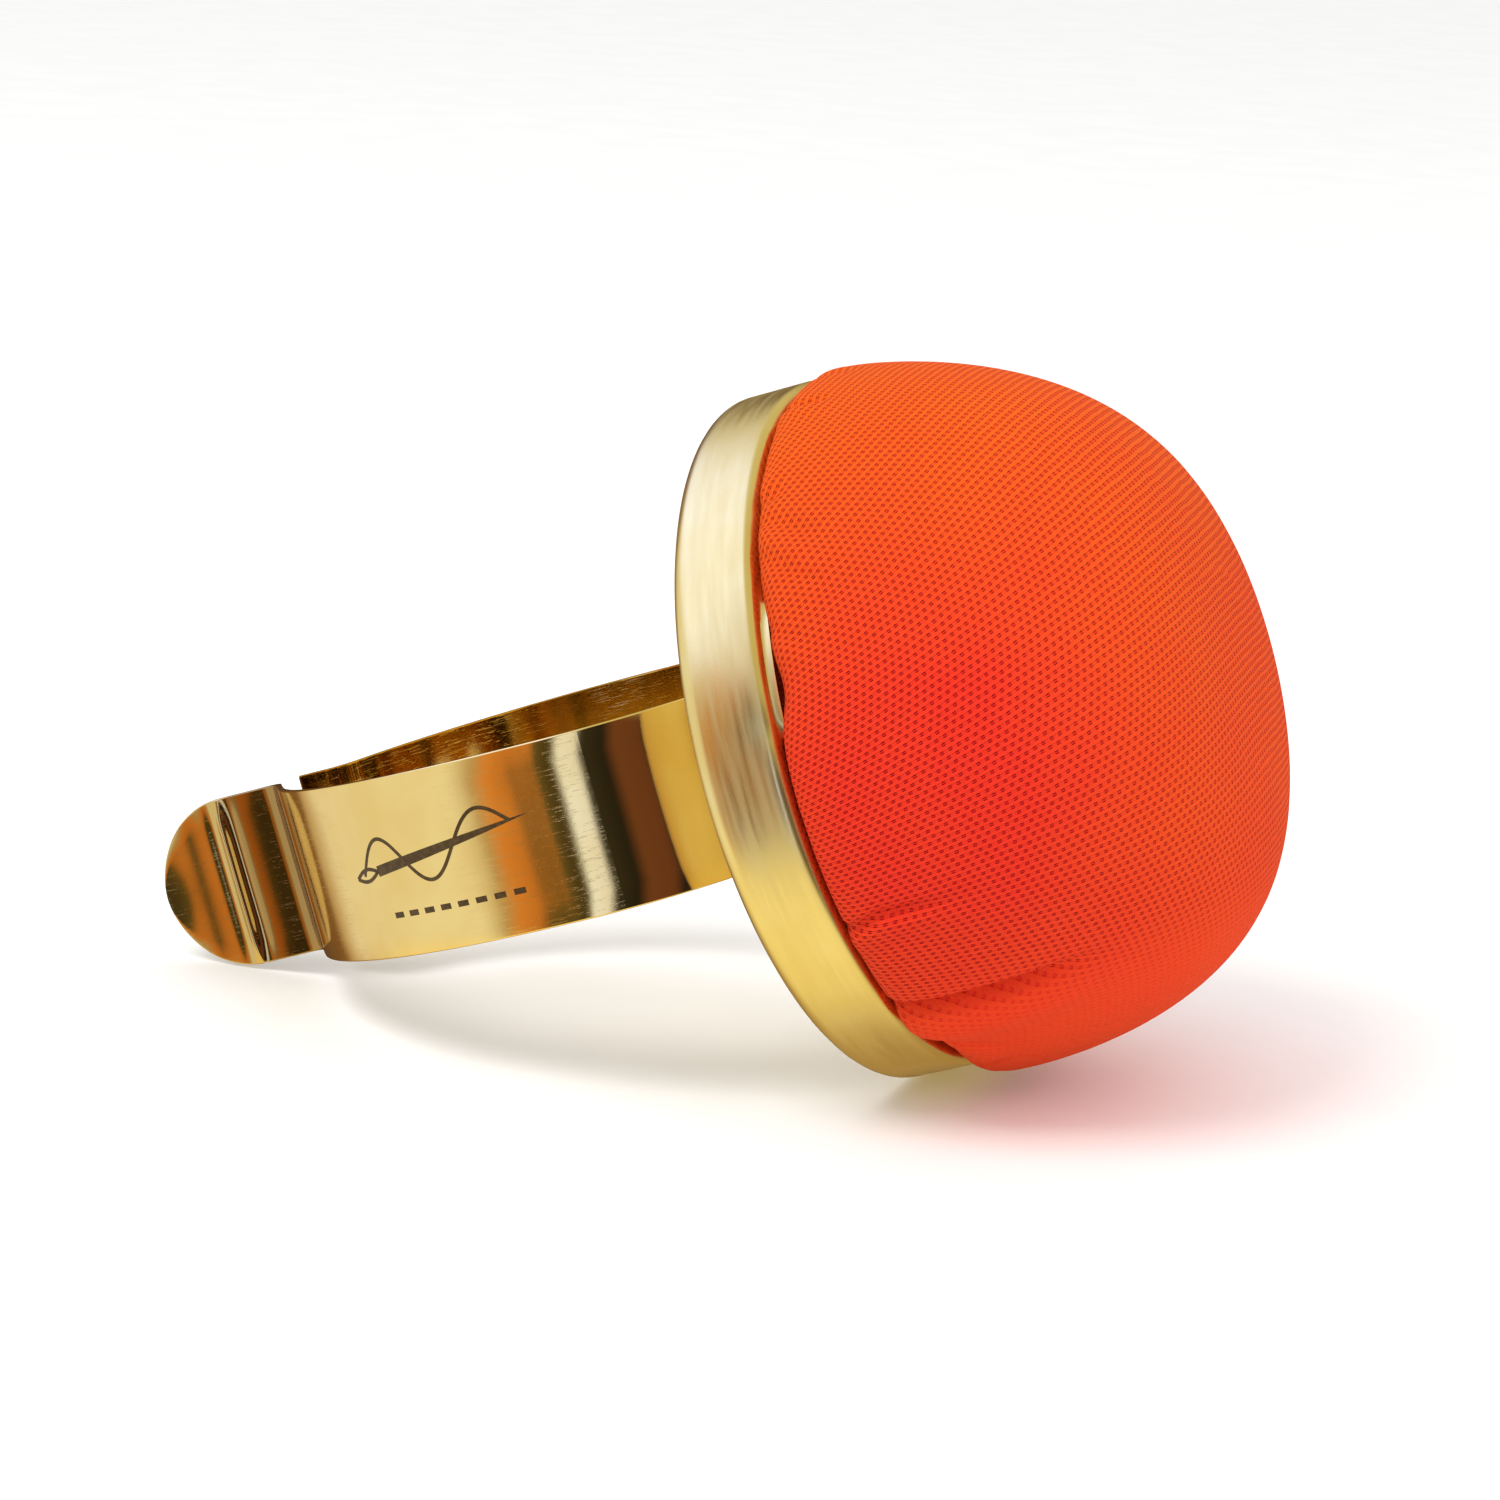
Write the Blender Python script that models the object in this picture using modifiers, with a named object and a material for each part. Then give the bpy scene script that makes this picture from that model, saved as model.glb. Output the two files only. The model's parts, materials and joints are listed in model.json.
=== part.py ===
"""Wrist pin cushion: a knit-covered pad in a crimped brass cup, riveted to a sprung metal wrist band.

The cushion frame has +X along the pad's axis, away from the wrist, +Y across the wrist and +Z along
the forearm, with x = 0 on the cup's back. The whole object then leans back on the table: it lies on
the cup's back edge and on the edge of the band's rounded tab, centred over the world's origin.
"""

import math

import bmesh
import bpy
from mathutils import Matrix

OBJECT_NAME = "wrist_pin_cushion"

# Cup, spun from thin sheet with its rim rolled in over the cover.
CUP_RADIUS = 0.0270
CUP_DEPTH = 0.0068
CUP_SHEET = 0.0005
CUP_BACK_ROUND = 0.0014
CUP_RIM_ROUND = 0.0006
CUP_LIP = 0.0016
CUP_BACK_RING = 0.0095

# Band, a strip of spring steel bent to an open loop with overlapped ends.
BAND_WIDTH = 0.0140
BAND_SHEET = 0.0005
BAND_TO_CUP = 0.00015
SEAT_LENGTH = 0.0130
SEAT_CLEAR_LENGTH = 0.0028
SEAT_SPRING_BACK = 0.4
SEAT_BEND_RADIUS = 0.0145
FLEX_GAP = 0.0003
ARC_STEP = math.radians(7)
TAB_ROUND = BAND_WIDTH / 2

# Rivets through the band and the cup's floor.
RIVET_SPACING = 0.0074
RIVET_RADIUS = 0.0012
RIVET_HEAD_RADIUS = 0.00225
RIVET_HEAD_HEIGHT = 0.0007
RIVET_CLINCH_RADIUS = 0.0019
RIVET_CLINCH_HEIGHT = 0.0007
RIVET_CLEARANCE = 0.0003
RIVET_HOLE_REACH = 0.0040
SHEET_CLEARANCE = 0.0001

# What lies in the cup under the pad, as heights above the cup's back.
GLUE_BOTTOM = 0.0016
GLUE_THICK = 0.0008
GLUE_RADIUS = 0.0100
COVER_BOTTOM = 0.0027
COVER_THICK = 0.0007
COVER_OPENING = 0.0120
THREAD_RADIUS = 0.0003
BACKING_THICK = 0.0012
BACKING_RADIUS = 0.0236
LAYER_GAP = 0.0003

# Pad: a squarish dome, nipped in where the rim grips it, that sags a little as it stands proud.
PAD_RADIUS = 0.0279
PAD_HEIGHT = 0.0264
PAD_SIDE_POWER = 3.5
PAD_TOP_POWER = 1.9
PAD_NIP = 0.0020
PAD_NIP_FADE = 0.0013
PAD_SAG_ROOT = 0.0002
PAD_SAG_TOP = 0.0020
PAD_LEAN_TOP = 0.0012
PAD_ROOT_RISES = (0.0012, 0.0003)
SIDES = 40
DOME_RINGS = 12


def straight(length):
    return (length, 0.0)


def arc(radius, degrees):
    turn = math.radians(degrees)
    return (radius * abs(turn), turn)


# Each arm runs from the end of the seat's bend; a positive turn closes the loop.
NEAR_RUNS = [
    straight(0.0019),
    arc(0.0320, 61),
    straight(0.0038),
    arc(0.0040, -66),
    straight(0.0030),
    arc(0.0010, 6),
    straight(0.0068),
]
FAR_RUNS = [
    straight(0.0051),
    arc(0.0235, 70),
    straight(0.0005),
    arc(0.0025, -70),
    straight(0.0024),
]
NEAR_HINGES = (0.0, 0.0140, 0.0270)
FAR_HINGES = (0.0, 0.0120, 0.0240)
PIECE_NAMES = ("inner", "middle", "outer")

SEAT_MIDLINE = -BAND_TO_CUP - BAND_SHEET / 2
ARM_ROOT_X = SEAT_MIDLINE - SEAT_BEND_RADIUS
ARM_ROOT_Y = SEAT_LENGTH / 2 + SEAT_BEND_RADIUS


def walk(start, heading, runs, distance):
    """The point and the heading at a distance along a path of straight runs and arcs."""
    x, y = start
    for length, turn in runs:
        step = min(length, distance)
        if turn:
            radius = length / turn
            bent = turn * step / length
            x += radius * (math.sin(heading + bent) - math.sin(heading))
            y -= radius * (math.cos(heading + bent) - math.cos(heading))
            heading += bent
        else:
            x += step * math.cos(heading)
            y += step * math.sin(heading)
        distance -= step
        if distance <= 0:
            break
    return x, y, heading


def stations(runs, first, last):
    """Distances from first to last: both ends, each change of run, and steps along the arcs."""
    marks = [first, last]
    begin = 0.0
    for length, turn in runs:
        count = max(1, math.ceil(abs(turn) / ARC_STEP))
        marks += [begin + length * i / count for i in range(count + 1)]
        begin += length
    inside = sorted(m for m in marks if first <= m <= last)
    kept = [inside[0]]
    for mark in inside[1:]:
        if mark - kept[-1] > 1e-6:
            kept.append(mark)
    return kept


def run_length(runs):
    return sum(length for length, turn in runs)


def side_runs(runs, side):
    return [(length, turn * side) for length, turn in runs]


def tab_centre_x():
    """Where the centre of the tab's half-circle end lies along the cushion frame's X."""
    runs = side_runs(NEAR_RUNS, -1)
    tip_x, _, _ = walk((ARM_ROOT_X, -ARM_ROOT_Y), math.pi, runs, run_length(runs))
    return tip_x + TAB_ROUND


def rest_lean():
    """The lean and the lift that set the cup's back edge and the tab on the table.

    The table is the common tangent, from below, of the round back edge and of the tab's round end.
    """
    across = CUP_BACK_ROUND - tab_centre_x()
    down = CUP_RADIUS - CUP_BACK_ROUND
    reach = math.hypot(across, down)
    lean = math.atan2(down, across) - math.asin((TAB_ROUND - CUP_BACK_ROUND) / reach)
    lift = TAB_ROUND - tab_centre_x() * math.sin(lean)
    return lean, lift


def clear_scene():
    for obj in list(bpy.data.objects):
        bpy.data.objects.remove(obj, do_unlink=True)


def new_collection(name):
    collection = bpy.data.collections.new(name)
    bpy.context.scene.collection.children.link(collection)
    return collection


def material(name, colour, metallic, roughness):
    mat = bpy.data.materials.new(name)
    mat.use_nodes = True
    shader = mat.node_tree.nodes["Principled BSDF"]
    shader.inputs["Base Color"].default_value = (*colour, 1.0)
    shader.inputs["Metallic"].default_value = metallic
    shader.inputs["Roughness"].default_value = roughness
    return mat


def add_object(name, mesh, collection, parent, mat):
    obj = bpy.data.objects.new(name, mesh)
    collection.objects.link(obj)
    obj.parent = parent
    if mat:
        mesh.materials.append(mat)
    return obj


def round_shading(mesh, degrees=35):
    mesh.shade_smooth()
    mesh.set_sharp_from_angle(angle=math.radians(degrees))


def bend_points(centre_r, centre_z, radius, first, last, count):
    """Points (r, z) along an arc of a profile, with angles in degrees from the outward direction."""
    angles = [math.radians(first + (last - first) * i / count) for i in range(count + 1)]
    return [(centre_r + radius * math.cos(a), centre_z + radius * math.sin(a)) for a in angles]


def turned(name, profile, collection, parent, mat, sides=SIDES):
    """A solid of revolution from a profile of (r, height), standing along the cushion frame's +X.

    The profile starts half a side round, so that a flat of the turned shape faces straight down,
    and its radii are those across the flats.
    """
    half_side = math.tan(math.pi / sides)
    bm = bmesh.new()
    points = [bm.verts.new((r, -r * half_side, z)) for r, z in profile]
    for a, b in zip(points, points[1:]):
        bm.edges.new((a, b))
    mesh = bpy.data.meshes.new(name)
    bm.to_mesh(mesh)
    bm.free()
    obj = add_object(name, mesh, collection, parent, mat)
    obj.rotation_euler = (0.0, math.pi / 2, 0.0)
    screw = obj.modifiers.new("turn", "SCREW")
    screw.axis = "Z"
    screw.steps = sides
    screw.render_steps = sides
    screw.use_merge_vertices = True
    screw.merge_threshold = 1e-5
    return obj


def realise(obj):
    """Replaces an object's mesh with its evaluated one and drops its modifiers."""
    bpy.context.view_layer.update()
    graph = bpy.context.evaluated_depsgraph_get()
    mesh = bpy.data.meshes.new_from_object(obj.evaluated_get(graph), depsgraph=graph)
    mesh.name = obj.name
    obj.modifiers.clear()
    obj.data = mesh
    return mesh


def sag(obj):
    """Shifts each level of a turned pad sideways: it sags towards the table and leans across."""
    mesh = realise(obj)
    for vertex in mesh.vertices:
        proud = vertex.co.z - CUP_DEPTH
        if proud <= 0:
            continue
        share = proud / PAD_HEIGHT
        root = min(1.0, proud / PAD_NIP_FADE)
        vertex.co.x += PAD_SAG_ROOT * root + PAD_SAG_TOP * share
        vertex.co.y += PAD_LEAN_TOP * share
    round_shading(mesh, 60)


def dome_profile(inset):
    """The pad's outline (r, height), from its top down to the rim, at a depth under its surface."""
    height = PAD_HEIGHT - inset
    rings = [math.pi / 2 * (1 - ring / (DOME_RINGS + 1)) for ring in range(1, DOME_RINGS + 1)]
    rises = [height * math.sin(angle) ** (2 / PAD_TOP_POWER) for angle in rings]
    rises += [rise + inset for rise in PAD_ROOT_RISES]
    points = [(0.0, CUP_DEPTH + height)]
    for rise in rises:
        side = (1 - (rise / height) ** PAD_TOP_POWER) ** (1 / PAD_SIDE_POWER)
        nip = PAD_NIP * math.exp((inset - rise) / PAD_NIP_FADE)
        points.append(((PAD_RADIUS - inset) * side - nip, CUP_DEPTH + rise))
    return points


def make_cup(collection, cutters, parent, mat):
    outer = CUP_RADIUS
    inner = CUP_RADIUS - CUP_SHEET
    back = CUP_BACK_ROUND
    rim = CUP_RIM_ROUND
    lip_edge = CUP_RADIUS - CUP_LIP
    inner_round = back - CUP_SHEET
    profile = [(0.0, CUP_SHEET)]
    profile += bend_points(outer - back, back, inner_round, -90, 0, 3)
    profile += [(inner, CUP_DEPTH - CUP_SHEET), (lip_edge, CUP_DEPTH - CUP_SHEET)]
    profile += [(lip_edge, CUP_DEPTH)]
    profile += bend_points(outer - rim, CUP_DEPTH - rim, rim, 90, 0, 3)
    profile += bend_points(outer - back, back, back, 0, -90, 4)
    profile += [(CUP_BACK_RING, 0.0), (0.0, 0.0)]
    cup = turned("cup", profile, collection, parent, mat)
    round_shading(cup.data, 50)
    cut_rivet_holes(cup, cutters, parent)
    return cup


def cut_rivet_holes(obj, cutters, parent):
    """Both rivet holes in one cut, by a cutter of two separate round bars."""
    name = f"{obj.name}_rivet_holes"
    hole_radius = RIVET_RADIUS + RIVET_CLEARANCE
    bm = bmesh.new()
    for side in (-1, 1):
        bmesh.ops.create_cone(
            bm,
            cap_ends=True,
            segments=16,
            radius1=hole_radius,
            radius2=hole_radius,
            depth=RIVET_HOLE_REACH,
            matrix=Matrix.Translation((0.0, side * RIVET_SPACING / 2, 0.0)),
        )
    mesh = bpy.data.meshes.new(name)
    bm.to_mesh(mesh)
    bm.free()
    cutter = add_object(name, mesh, cutters, parent, None)
    cutter.rotation_euler = (0.0, math.pi / 2, 0.0)
    mark_cutter(cutter)
    cut = obj.modifiers.new("rivet holes", "BOOLEAN")
    cut.operation = "DIFFERENCE"
    cut.solver = "EXACT"
    cut.object = cutter


def mark_cutter(obj):
    obj.hide_render = True
    obj.display_type = "WIRE"


def make_rivets(collection, parent, mat):
    head_face = -BAND_TO_CUP - BAND_SHEET - SHEET_CLEARANCE
    clinch_face = CUP_SHEET + SHEET_CLEARANCE
    head_rings = 4
    profile = [
        (0.0, clinch_face + RIVET_CLINCH_HEIGHT),
        (RIVET_CLINCH_RADIUS, clinch_face + RIVET_CLINCH_HEIGHT),
        (RIVET_CLINCH_RADIUS, clinch_face),
        (RIVET_RADIUS, clinch_face),
        (RIVET_RADIUS, head_face),
    ]
    for ring in range(head_rings + 1):
        angle = math.pi / 2 * ring / head_rings
        radius = RIVET_HEAD_RADIUS * math.cos(angle) if ring < head_rings else 0.0
        profile.append((radius, head_face - RIVET_HEAD_HEIGHT * math.sin(angle)))
    for name, side in (("rivet_near", -1), ("rivet_far", 1)):
        rivet = turned(name, profile, collection, parent, mat, sides=16)
        rivet.location = (0.0, side * RIVET_SPACING / 2, 0.0)
        round_shading(rivet.data)


def disc(name, radius, bottom, thickness, sides, collection, parent, mat):
    """A flat round layer of the stack inside the cup."""
    bm = bmesh.new()
    bmesh.ops.create_cone(
        bm, cap_ends=True, segments=sides, radius1=radius, radius2=radius, depth=thickness
    )
    mesh = bpy.data.meshes.new(name)
    bm.to_mesh(mesh)
    bm.free()
    obj = add_object(name, mesh, collection, parent, mat)
    obj.rotation_euler = (0.0, math.pi / 2, 0.0)
    obj.location = (bottom + thickness / 2, 0.0, 0.0)
    round_shading(mesh)
    return obj


def make_cover(collection, parent, mat):
    """The knit cover: over the dome, nipped by the rim, and gathered under the backing disc."""
    grip_radius = CUP_RADIUS - CUP_LIP - LAYER_GAP
    wall_radius = CUP_RADIUS - CUP_SHEET - LAYER_GAP
    lip_bottom = CUP_DEPTH - CUP_SHEET - LAYER_GAP
    inner_bottom = COVER_BOTTOM + COVER_THICK
    hem_round = 0.0010
    profile = dome_profile(0.0)
    profile += [(grip_radius, CUP_DEPTH + LAYER_GAP / 2), (grip_radius, lip_bottom)]
    profile += bend_points(wall_radius - hem_round, COVER_BOTTOM + hem_round, hem_round, 0, -90, 3)
    profile += [(COVER_OPENING, COVER_BOTTOM), (COVER_OPENING, inner_bottom)]
    profile += [(wall_radius - COVER_THICK - LAYER_GAP, inner_bottom)]
    profile += [(wall_radius - COVER_THICK, inner_bottom + LAYER_GAP)]
    profile += [(grip_radius - COVER_THICK, lip_bottom - COVER_THICK)]
    profile += [(grip_radius - COVER_THICK, CUP_DEPTH + LAYER_GAP)]
    profile += reversed(dome_profile(COVER_THICK))
    cover = turned("cushion_cover", profile, collection, parent, mat)
    sag(cover)
    return cover


def make_filling(collection, parent, mat):
    inset = COVER_THICK + LAYER_GAP
    bottom = COVER_BOTTOM + COVER_THICK + 2 * LAYER_GAP + BACKING_THICK
    grip_radius = CUP_RADIUS - CUP_LIP - LAYER_GAP - inset
    profile = dome_profile(inset)
    profile += [(grip_radius, CUP_DEPTH + inset), (grip_radius, bottom), (0.0, bottom)]
    filling = turned("cushion_filling", profile, collection, parent, mat)
    sag(filling)
    return filling


def make_thread(collection, parent, mat):
    """The drawn-up thread that gathers the cover's hem under the backing disc."""
    ring = COVER_OPENING - LAYER_GAP - THREAD_RADIUS
    bpy.ops.mesh.primitive_torus_add(
        major_segments=36, minor_segments=6, major_radius=ring, minor_radius=THREAD_RADIUS
    )
    thread = bpy.context.object
    thread.name = "gathering_thread"
    thread.data.name = "gathering_thread"
    thread.data.materials.append(mat)
    for collection_now in list(thread.users_collection):
        collection_now.objects.unlink(thread)
    collection.objects.link(thread)
    thread.parent = parent
    thread.rotation_euler = (0.0, math.pi / 2, 0.0)
    thread.location = (COVER_BOTTOM + COVER_THICK / 2, 0.0, 0.0)
    round_shading(thread.data)
    return thread


def strip(name, start, heading, runs, span, origin, collection, parent, mat):
    """A length of the band between two distances along its path, with its origin on its hinge."""
    bm = bmesh.new()
    row = []
    for distance in stations(runs, *span):
        x, y, _ = walk(start, heading, runs, distance)
        row.append(bm.verts.new((x - origin[0], y - origin[1], -BAND_WIDTH / 2)))
    edges = [bm.edges.new(pair) for pair in zip(row, row[1:])]
    raised = bmesh.ops.extrude_edge_only(bm, edges=edges)["geom"]
    top = [part for part in raised if isinstance(part, bmesh.types.BMVert)]
    bmesh.ops.translate(bm, verts=top, vec=(0.0, 0.0, BAND_WIDTH))
    mesh = bpy.data.meshes.new(name)
    bm.to_mesh(mesh)
    bm.free()
    obj = add_object(name, mesh, collection, parent, mat)
    sheet = obj.modifiers.new("sheet", "SOLIDIFY")
    sheet.thickness = BAND_SHEET
    sheet.offset = 0.0
    sheet.use_even_offset = True
    round_shading(mesh)
    return obj


def seat_runs():
    """The band's middle: a bend, the flat and a bend.

    The flat springs back by a fraction of a degree beside its clear stretch between the rivets, and is
    longer by what the bends then lack, so that the bends still end where the arms begin.
    """
    lack = SEAT_BEND_RADIUS * math.sin(math.radians(SEAT_SPRING_BACK))
    beside = straight((SEAT_LENGTH - SEAT_CLEAR_LENGTH) / 2 + lack)
    corner = arc(SEAT_BEND_RADIUS, 90 - SEAT_SPRING_BACK)
    kink = arc(BAND_SHEET, SEAT_SPRING_BACK)
    return [corner, beside, kink, straight(SEAT_CLEAR_LENGTH), kink, beside, corner]


def make_seat(collection, cutters, parent, mat):
    """The middle of the band, flat under the cup and bent down at both sides to the arms."""
    runs = seat_runs()
    start = (ARM_ROOT_X, -ARM_ROOT_Y)
    span = (FLEX_GAP / 2, run_length(runs) - FLEX_GAP / 2)
    seat = strip("band_base", start, 0.0, runs, span, (0.0, 0.0), collection, parent, mat)
    cut_rivet_holes(seat, cutters, parent)
    return seat


def make_arm(label, side, runs, hinges, collection, parent, mat):
    """One arm in three lengths, each hinged to the one before where the strip flexes."""
    runs = side_runs(runs, side)
    start = (ARM_ROOT_X, side * ARM_ROOT_Y)
    ends = [*hinges[1:], run_length(runs) + FLEX_GAP / 2]
    holder = parent
    base = (0.0, 0.0)
    made = []
    for piece, first, last in zip(PIECE_NAMES, hinges, ends):
        x, y, _ = walk(start, math.pi, runs, first)
        span = (first + FLEX_GAP / 2, last - FLEX_GAP / 2)
        obj = strip(
            f"{label}_arm_{piece}", start, math.pi, runs, span, (x, y), collection, holder, mat
        )
        obj.location = (x - base[0], y - base[1], 0.0)
        holder, base = obj, (x, y)
        made.append(obj)
    return made


def round_tab(obj, cutters, parent):
    """Trims the near arm's end to a half circle with a broad stadium-shaped keeper."""
    reach = 0.02
    curve = bpy.data.curves.new("tab_outline", "CURVE")
    curve.dimensions = "2D"
    curve.fill_mode = "BOTH"
    curve.extrude = 0.03
    steps = 16
    outline = [(-reach, TAB_ROUND * 1.5), (-reach, -TAB_ROUND * 1.5), (0.0, -TAB_ROUND * 1.5)]
    outline += [(0.0, -TAB_ROUND)]
    for i in range(1, steps):
        angle = -math.pi / 2 + math.pi * i / steps
        outline.append((TAB_ROUND * math.cos(angle), TAB_ROUND * math.sin(angle)))
    outline += [(0.0, TAB_ROUND), (0.0, TAB_ROUND * 1.5)]
    line = curve.splines.new("POLY")
    line.points.add(len(outline) - 1)
    for point, (x, z) in zip(line.points, outline):
        point.co = (x, z, 0.0, 1.0)
    line.use_cyclic_u = True
    drawn = bpy.data.objects.new("tab_outline", curve)
    cutters.objects.link(drawn)
    drawn.rotation_euler = (math.pi / 2, 0.0, math.pi)
    bpy.context.view_layer.update()
    graph = bpy.context.evaluated_depsgraph_get()
    mesh = bpy.data.meshes.new_from_object(drawn.evaluated_get(graph), depsgraph=graph)
    bm = bmesh.new()
    bm.from_mesh(mesh)
    bmesh.ops.remove_doubles(bm, verts=bm.verts, dist=1e-6)
    bmesh.ops.recalc_face_normals(bm, faces=bm.faces)
    bm.to_mesh(mesh)
    bm.free()
    keeper = add_object("tab_keeper", mesh, cutters, parent, None)
    keeper.rotation_euler = drawn.rotation_euler
    keeper.location = (tab_centre_x(), 0.0, 0.0)
    bpy.data.objects.remove(drawn, do_unlink=True)
    mark_cutter(keeper)
    cut = obj.modifiers.new("tab", "BOOLEAN")
    cut.operation = "INTERSECT"
    cut.solver = "EXACT"
    cut.object = keeper


def centre_over_origin(parts, rest):
    """Slides the resting object along the table until its outer box is centred on the origin."""
    bpy.context.view_layer.update()
    graph = bpy.context.evaluated_depsgraph_get()
    places = []
    for obj in parts.objects:
        if obj.type == "MESH":
            evaluated = obj.evaluated_get(graph)
            places += [evaluated.matrix_world @ vertex.co for vertex in evaluated.data.vertices]
    for axis in (0, 1):
        low = min(place[axis] for place in places)
        high = max(place[axis] for place in places)
        rest.location[axis] -= (low + high) / 2


def main():
    clear_scene()
    parts = new_collection(OBJECT_NAME)
    cutters = new_collection("cutters")
    lean, lift = rest_lean()
    rest = bpy.data.objects.new("rest_pose", None)
    parts.objects.link(rest)
    rest.rotation_euler = (0.0, -lean, 0.0)
    rest.location = (0.0, 0.0, lift)

    gold = material("polished_gold_steel", (0.83, 0.62, 0.30), 1.0, 0.12)
    brass = material("satin_brass", (0.86, 0.76, 0.50), 1.0, 0.38)
    rivet_metal = material("rivet_brass", (0.78, 0.62, 0.32), 1.0, 0.30)
    knit = material("orange_knit", (0.90, 0.12, 0.03), 0.0, 0.80)
    fibre = material("white_fibre", (0.88, 0.87, 0.84), 0.0, 0.95)
    board = material("grey_board", (0.55, 0.52, 0.47), 0.0, 0.90)
    glue = material("clear_glue", (0.80, 0.75, 0.62), 0.0, 0.35)
    thread = material("red_thread", (0.60, 0.05, 0.03), 0.0, 0.75)

    make_seat(parts, cutters, rest, gold)
    near = make_arm("near", -1, NEAR_RUNS, NEAR_HINGES, parts, rest, gold)
    make_arm("far", 1, FAR_RUNS, FAR_HINGES, parts, rest, gold)
    round_tab(near[-1], cutters, rest)
    make_cup(parts, cutters, rest, brass)
    make_rivets(parts, rest, rivet_metal)
    disc("glue_pad", GLUE_RADIUS, GLUE_BOTTOM, GLUE_THICK, 24, parts, rest, glue)
    board_bottom = COVER_BOTTOM + COVER_THICK + LAYER_GAP
    disc("backing_disc", BACKING_RADIUS, board_bottom, BACKING_THICK, 36, parts, rest, board)
    make_filling(parts, rest, fibre)
    make_cover(parts, rest, knit)
    make_thread(parts, rest, thread)
    centre_over_origin(parts, rest)


main()
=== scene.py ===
"""Visual model of the wrist pin cushion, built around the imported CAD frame.

Pieces are made in millimetres in the cushion's own frame: +X along the pad's axis away from the wrist,
+Y across the wrist, +Z along the forearm, x = 0 on the cup's back. The frame's mount gives the matrix
that sets them down, leaning, in the row frame.
"""

import json
import math
import random

import bmesh
import bpy
import numpy as np
from mathutils import Matrix, Vector, noise


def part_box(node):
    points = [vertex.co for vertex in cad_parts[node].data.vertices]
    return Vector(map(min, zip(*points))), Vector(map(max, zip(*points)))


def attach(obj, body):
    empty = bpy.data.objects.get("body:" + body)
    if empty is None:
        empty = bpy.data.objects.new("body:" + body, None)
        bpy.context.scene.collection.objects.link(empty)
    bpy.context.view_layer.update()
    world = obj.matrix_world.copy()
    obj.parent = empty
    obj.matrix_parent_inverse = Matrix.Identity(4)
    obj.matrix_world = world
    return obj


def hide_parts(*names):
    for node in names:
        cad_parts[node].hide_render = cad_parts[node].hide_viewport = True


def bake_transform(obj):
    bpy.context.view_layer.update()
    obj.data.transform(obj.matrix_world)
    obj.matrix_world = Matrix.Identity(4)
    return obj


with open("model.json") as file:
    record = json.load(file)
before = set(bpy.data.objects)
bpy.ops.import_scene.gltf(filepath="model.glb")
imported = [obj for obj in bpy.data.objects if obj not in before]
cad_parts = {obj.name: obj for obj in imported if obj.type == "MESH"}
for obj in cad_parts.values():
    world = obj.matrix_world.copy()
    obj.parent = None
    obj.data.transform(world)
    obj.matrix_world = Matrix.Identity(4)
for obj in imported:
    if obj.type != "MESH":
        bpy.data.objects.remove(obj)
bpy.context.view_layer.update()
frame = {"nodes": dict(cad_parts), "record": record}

MM = 0.001
OWN = "own_mm"
KNIT = "knit_mm"
SWELLED = "swelled"

# Cup.
CUP_RADIUS = 27.0
CUP_DEPTH = 6.8
CUP_SHEET = 0.5
CUP_BACK_ROUND = 1.4
CUP_RIM_ROUND = 0.75
CUP_LIP = 1.6
CUP_SEGMENTS = 256

# Band.
BAND_WIDTH = 14.0
BAND_SHEET = 0.5
BAND_TO_CUP = 0.15
BAND_EDGE_ROUND = 0.13
SEAT_LENGTH = 13.0
SEAT_BEND_RADIUS = 14.5
SEAT_MIDLINE = -BAND_TO_CUP - BAND_SHEET / 2
TAB_ROUND = BAND_WIDTH / 2
STRIP_STEP = 0.22
FINE_STEP = 0.09

# Rivets.
RIVET_SPACING = 7.4
RIVET_RADIUS = 1.2
RIVET_HEAD_RADIUS = 2.25
RIVET_HEAD_HEIGHT = 0.7
RIVET_CLINCH_RADIUS = 1.9
RIVET_CLINCH_HEIGHT = 0.7
SHEET_CLEARANCE = 0.1

# Pad.
PAD_RADIUS = 27.9
PAD_HEIGHT = 26.4
PAD_SIDE_POWER = 3.5
PAD_TOP_POWER = 1.9
PAD_NIP = 1.25
PAD_NIP_FADE = 0.75
PAD_SAG_ROOT = 0.2
PAD_SAG_TOP = 2.0
PAD_LEAN_TOP = 1.2
PAD_GRIP_RADIUS = 25.1
PAD_WALL_RADIUS = 25.9
PAD_FOOT = 2.8
SIM_SCALE = 0.01
SWELL_CAP = 0.45
SWELL_ROUNDS = 24
COVER_VOXEL = 0.6


def straight(length):
    return (length, 0.0)


def arc(radius, degrees):
    turn = math.radians(degrees)
    return (radius * abs(turn), turn)


NEAR_RUNS = [
    straight(1.9),
    arc(32.0, 61),
    straight(4.97),
    arc(2.2, -66),
    straight(0.75),
    arc(14.0, 7),
    arc(14.0, -7),
    arc(1.0, 6),
    arc(14.0, 5),
    arc(14.0, -9),
    arc(14.0, 4),
    straight(2.4),
]
CREASE_AT = 47.8
FLARE_FROM = 51.4
FLARE_ROUND = 0.09
FLARE_RADIUS = 20.0
FAR_RUNS = [straight(5.1), arc(23.5, 70), straight(0.5), arc(2.5, -70), straight(2.4)]
ROOT_LENGTH = SEAT_LENGTH / 2 + SEAT_BEND_RADIUS * math.pi / 2


# ---------------------------------------------------------------- frame


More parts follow.
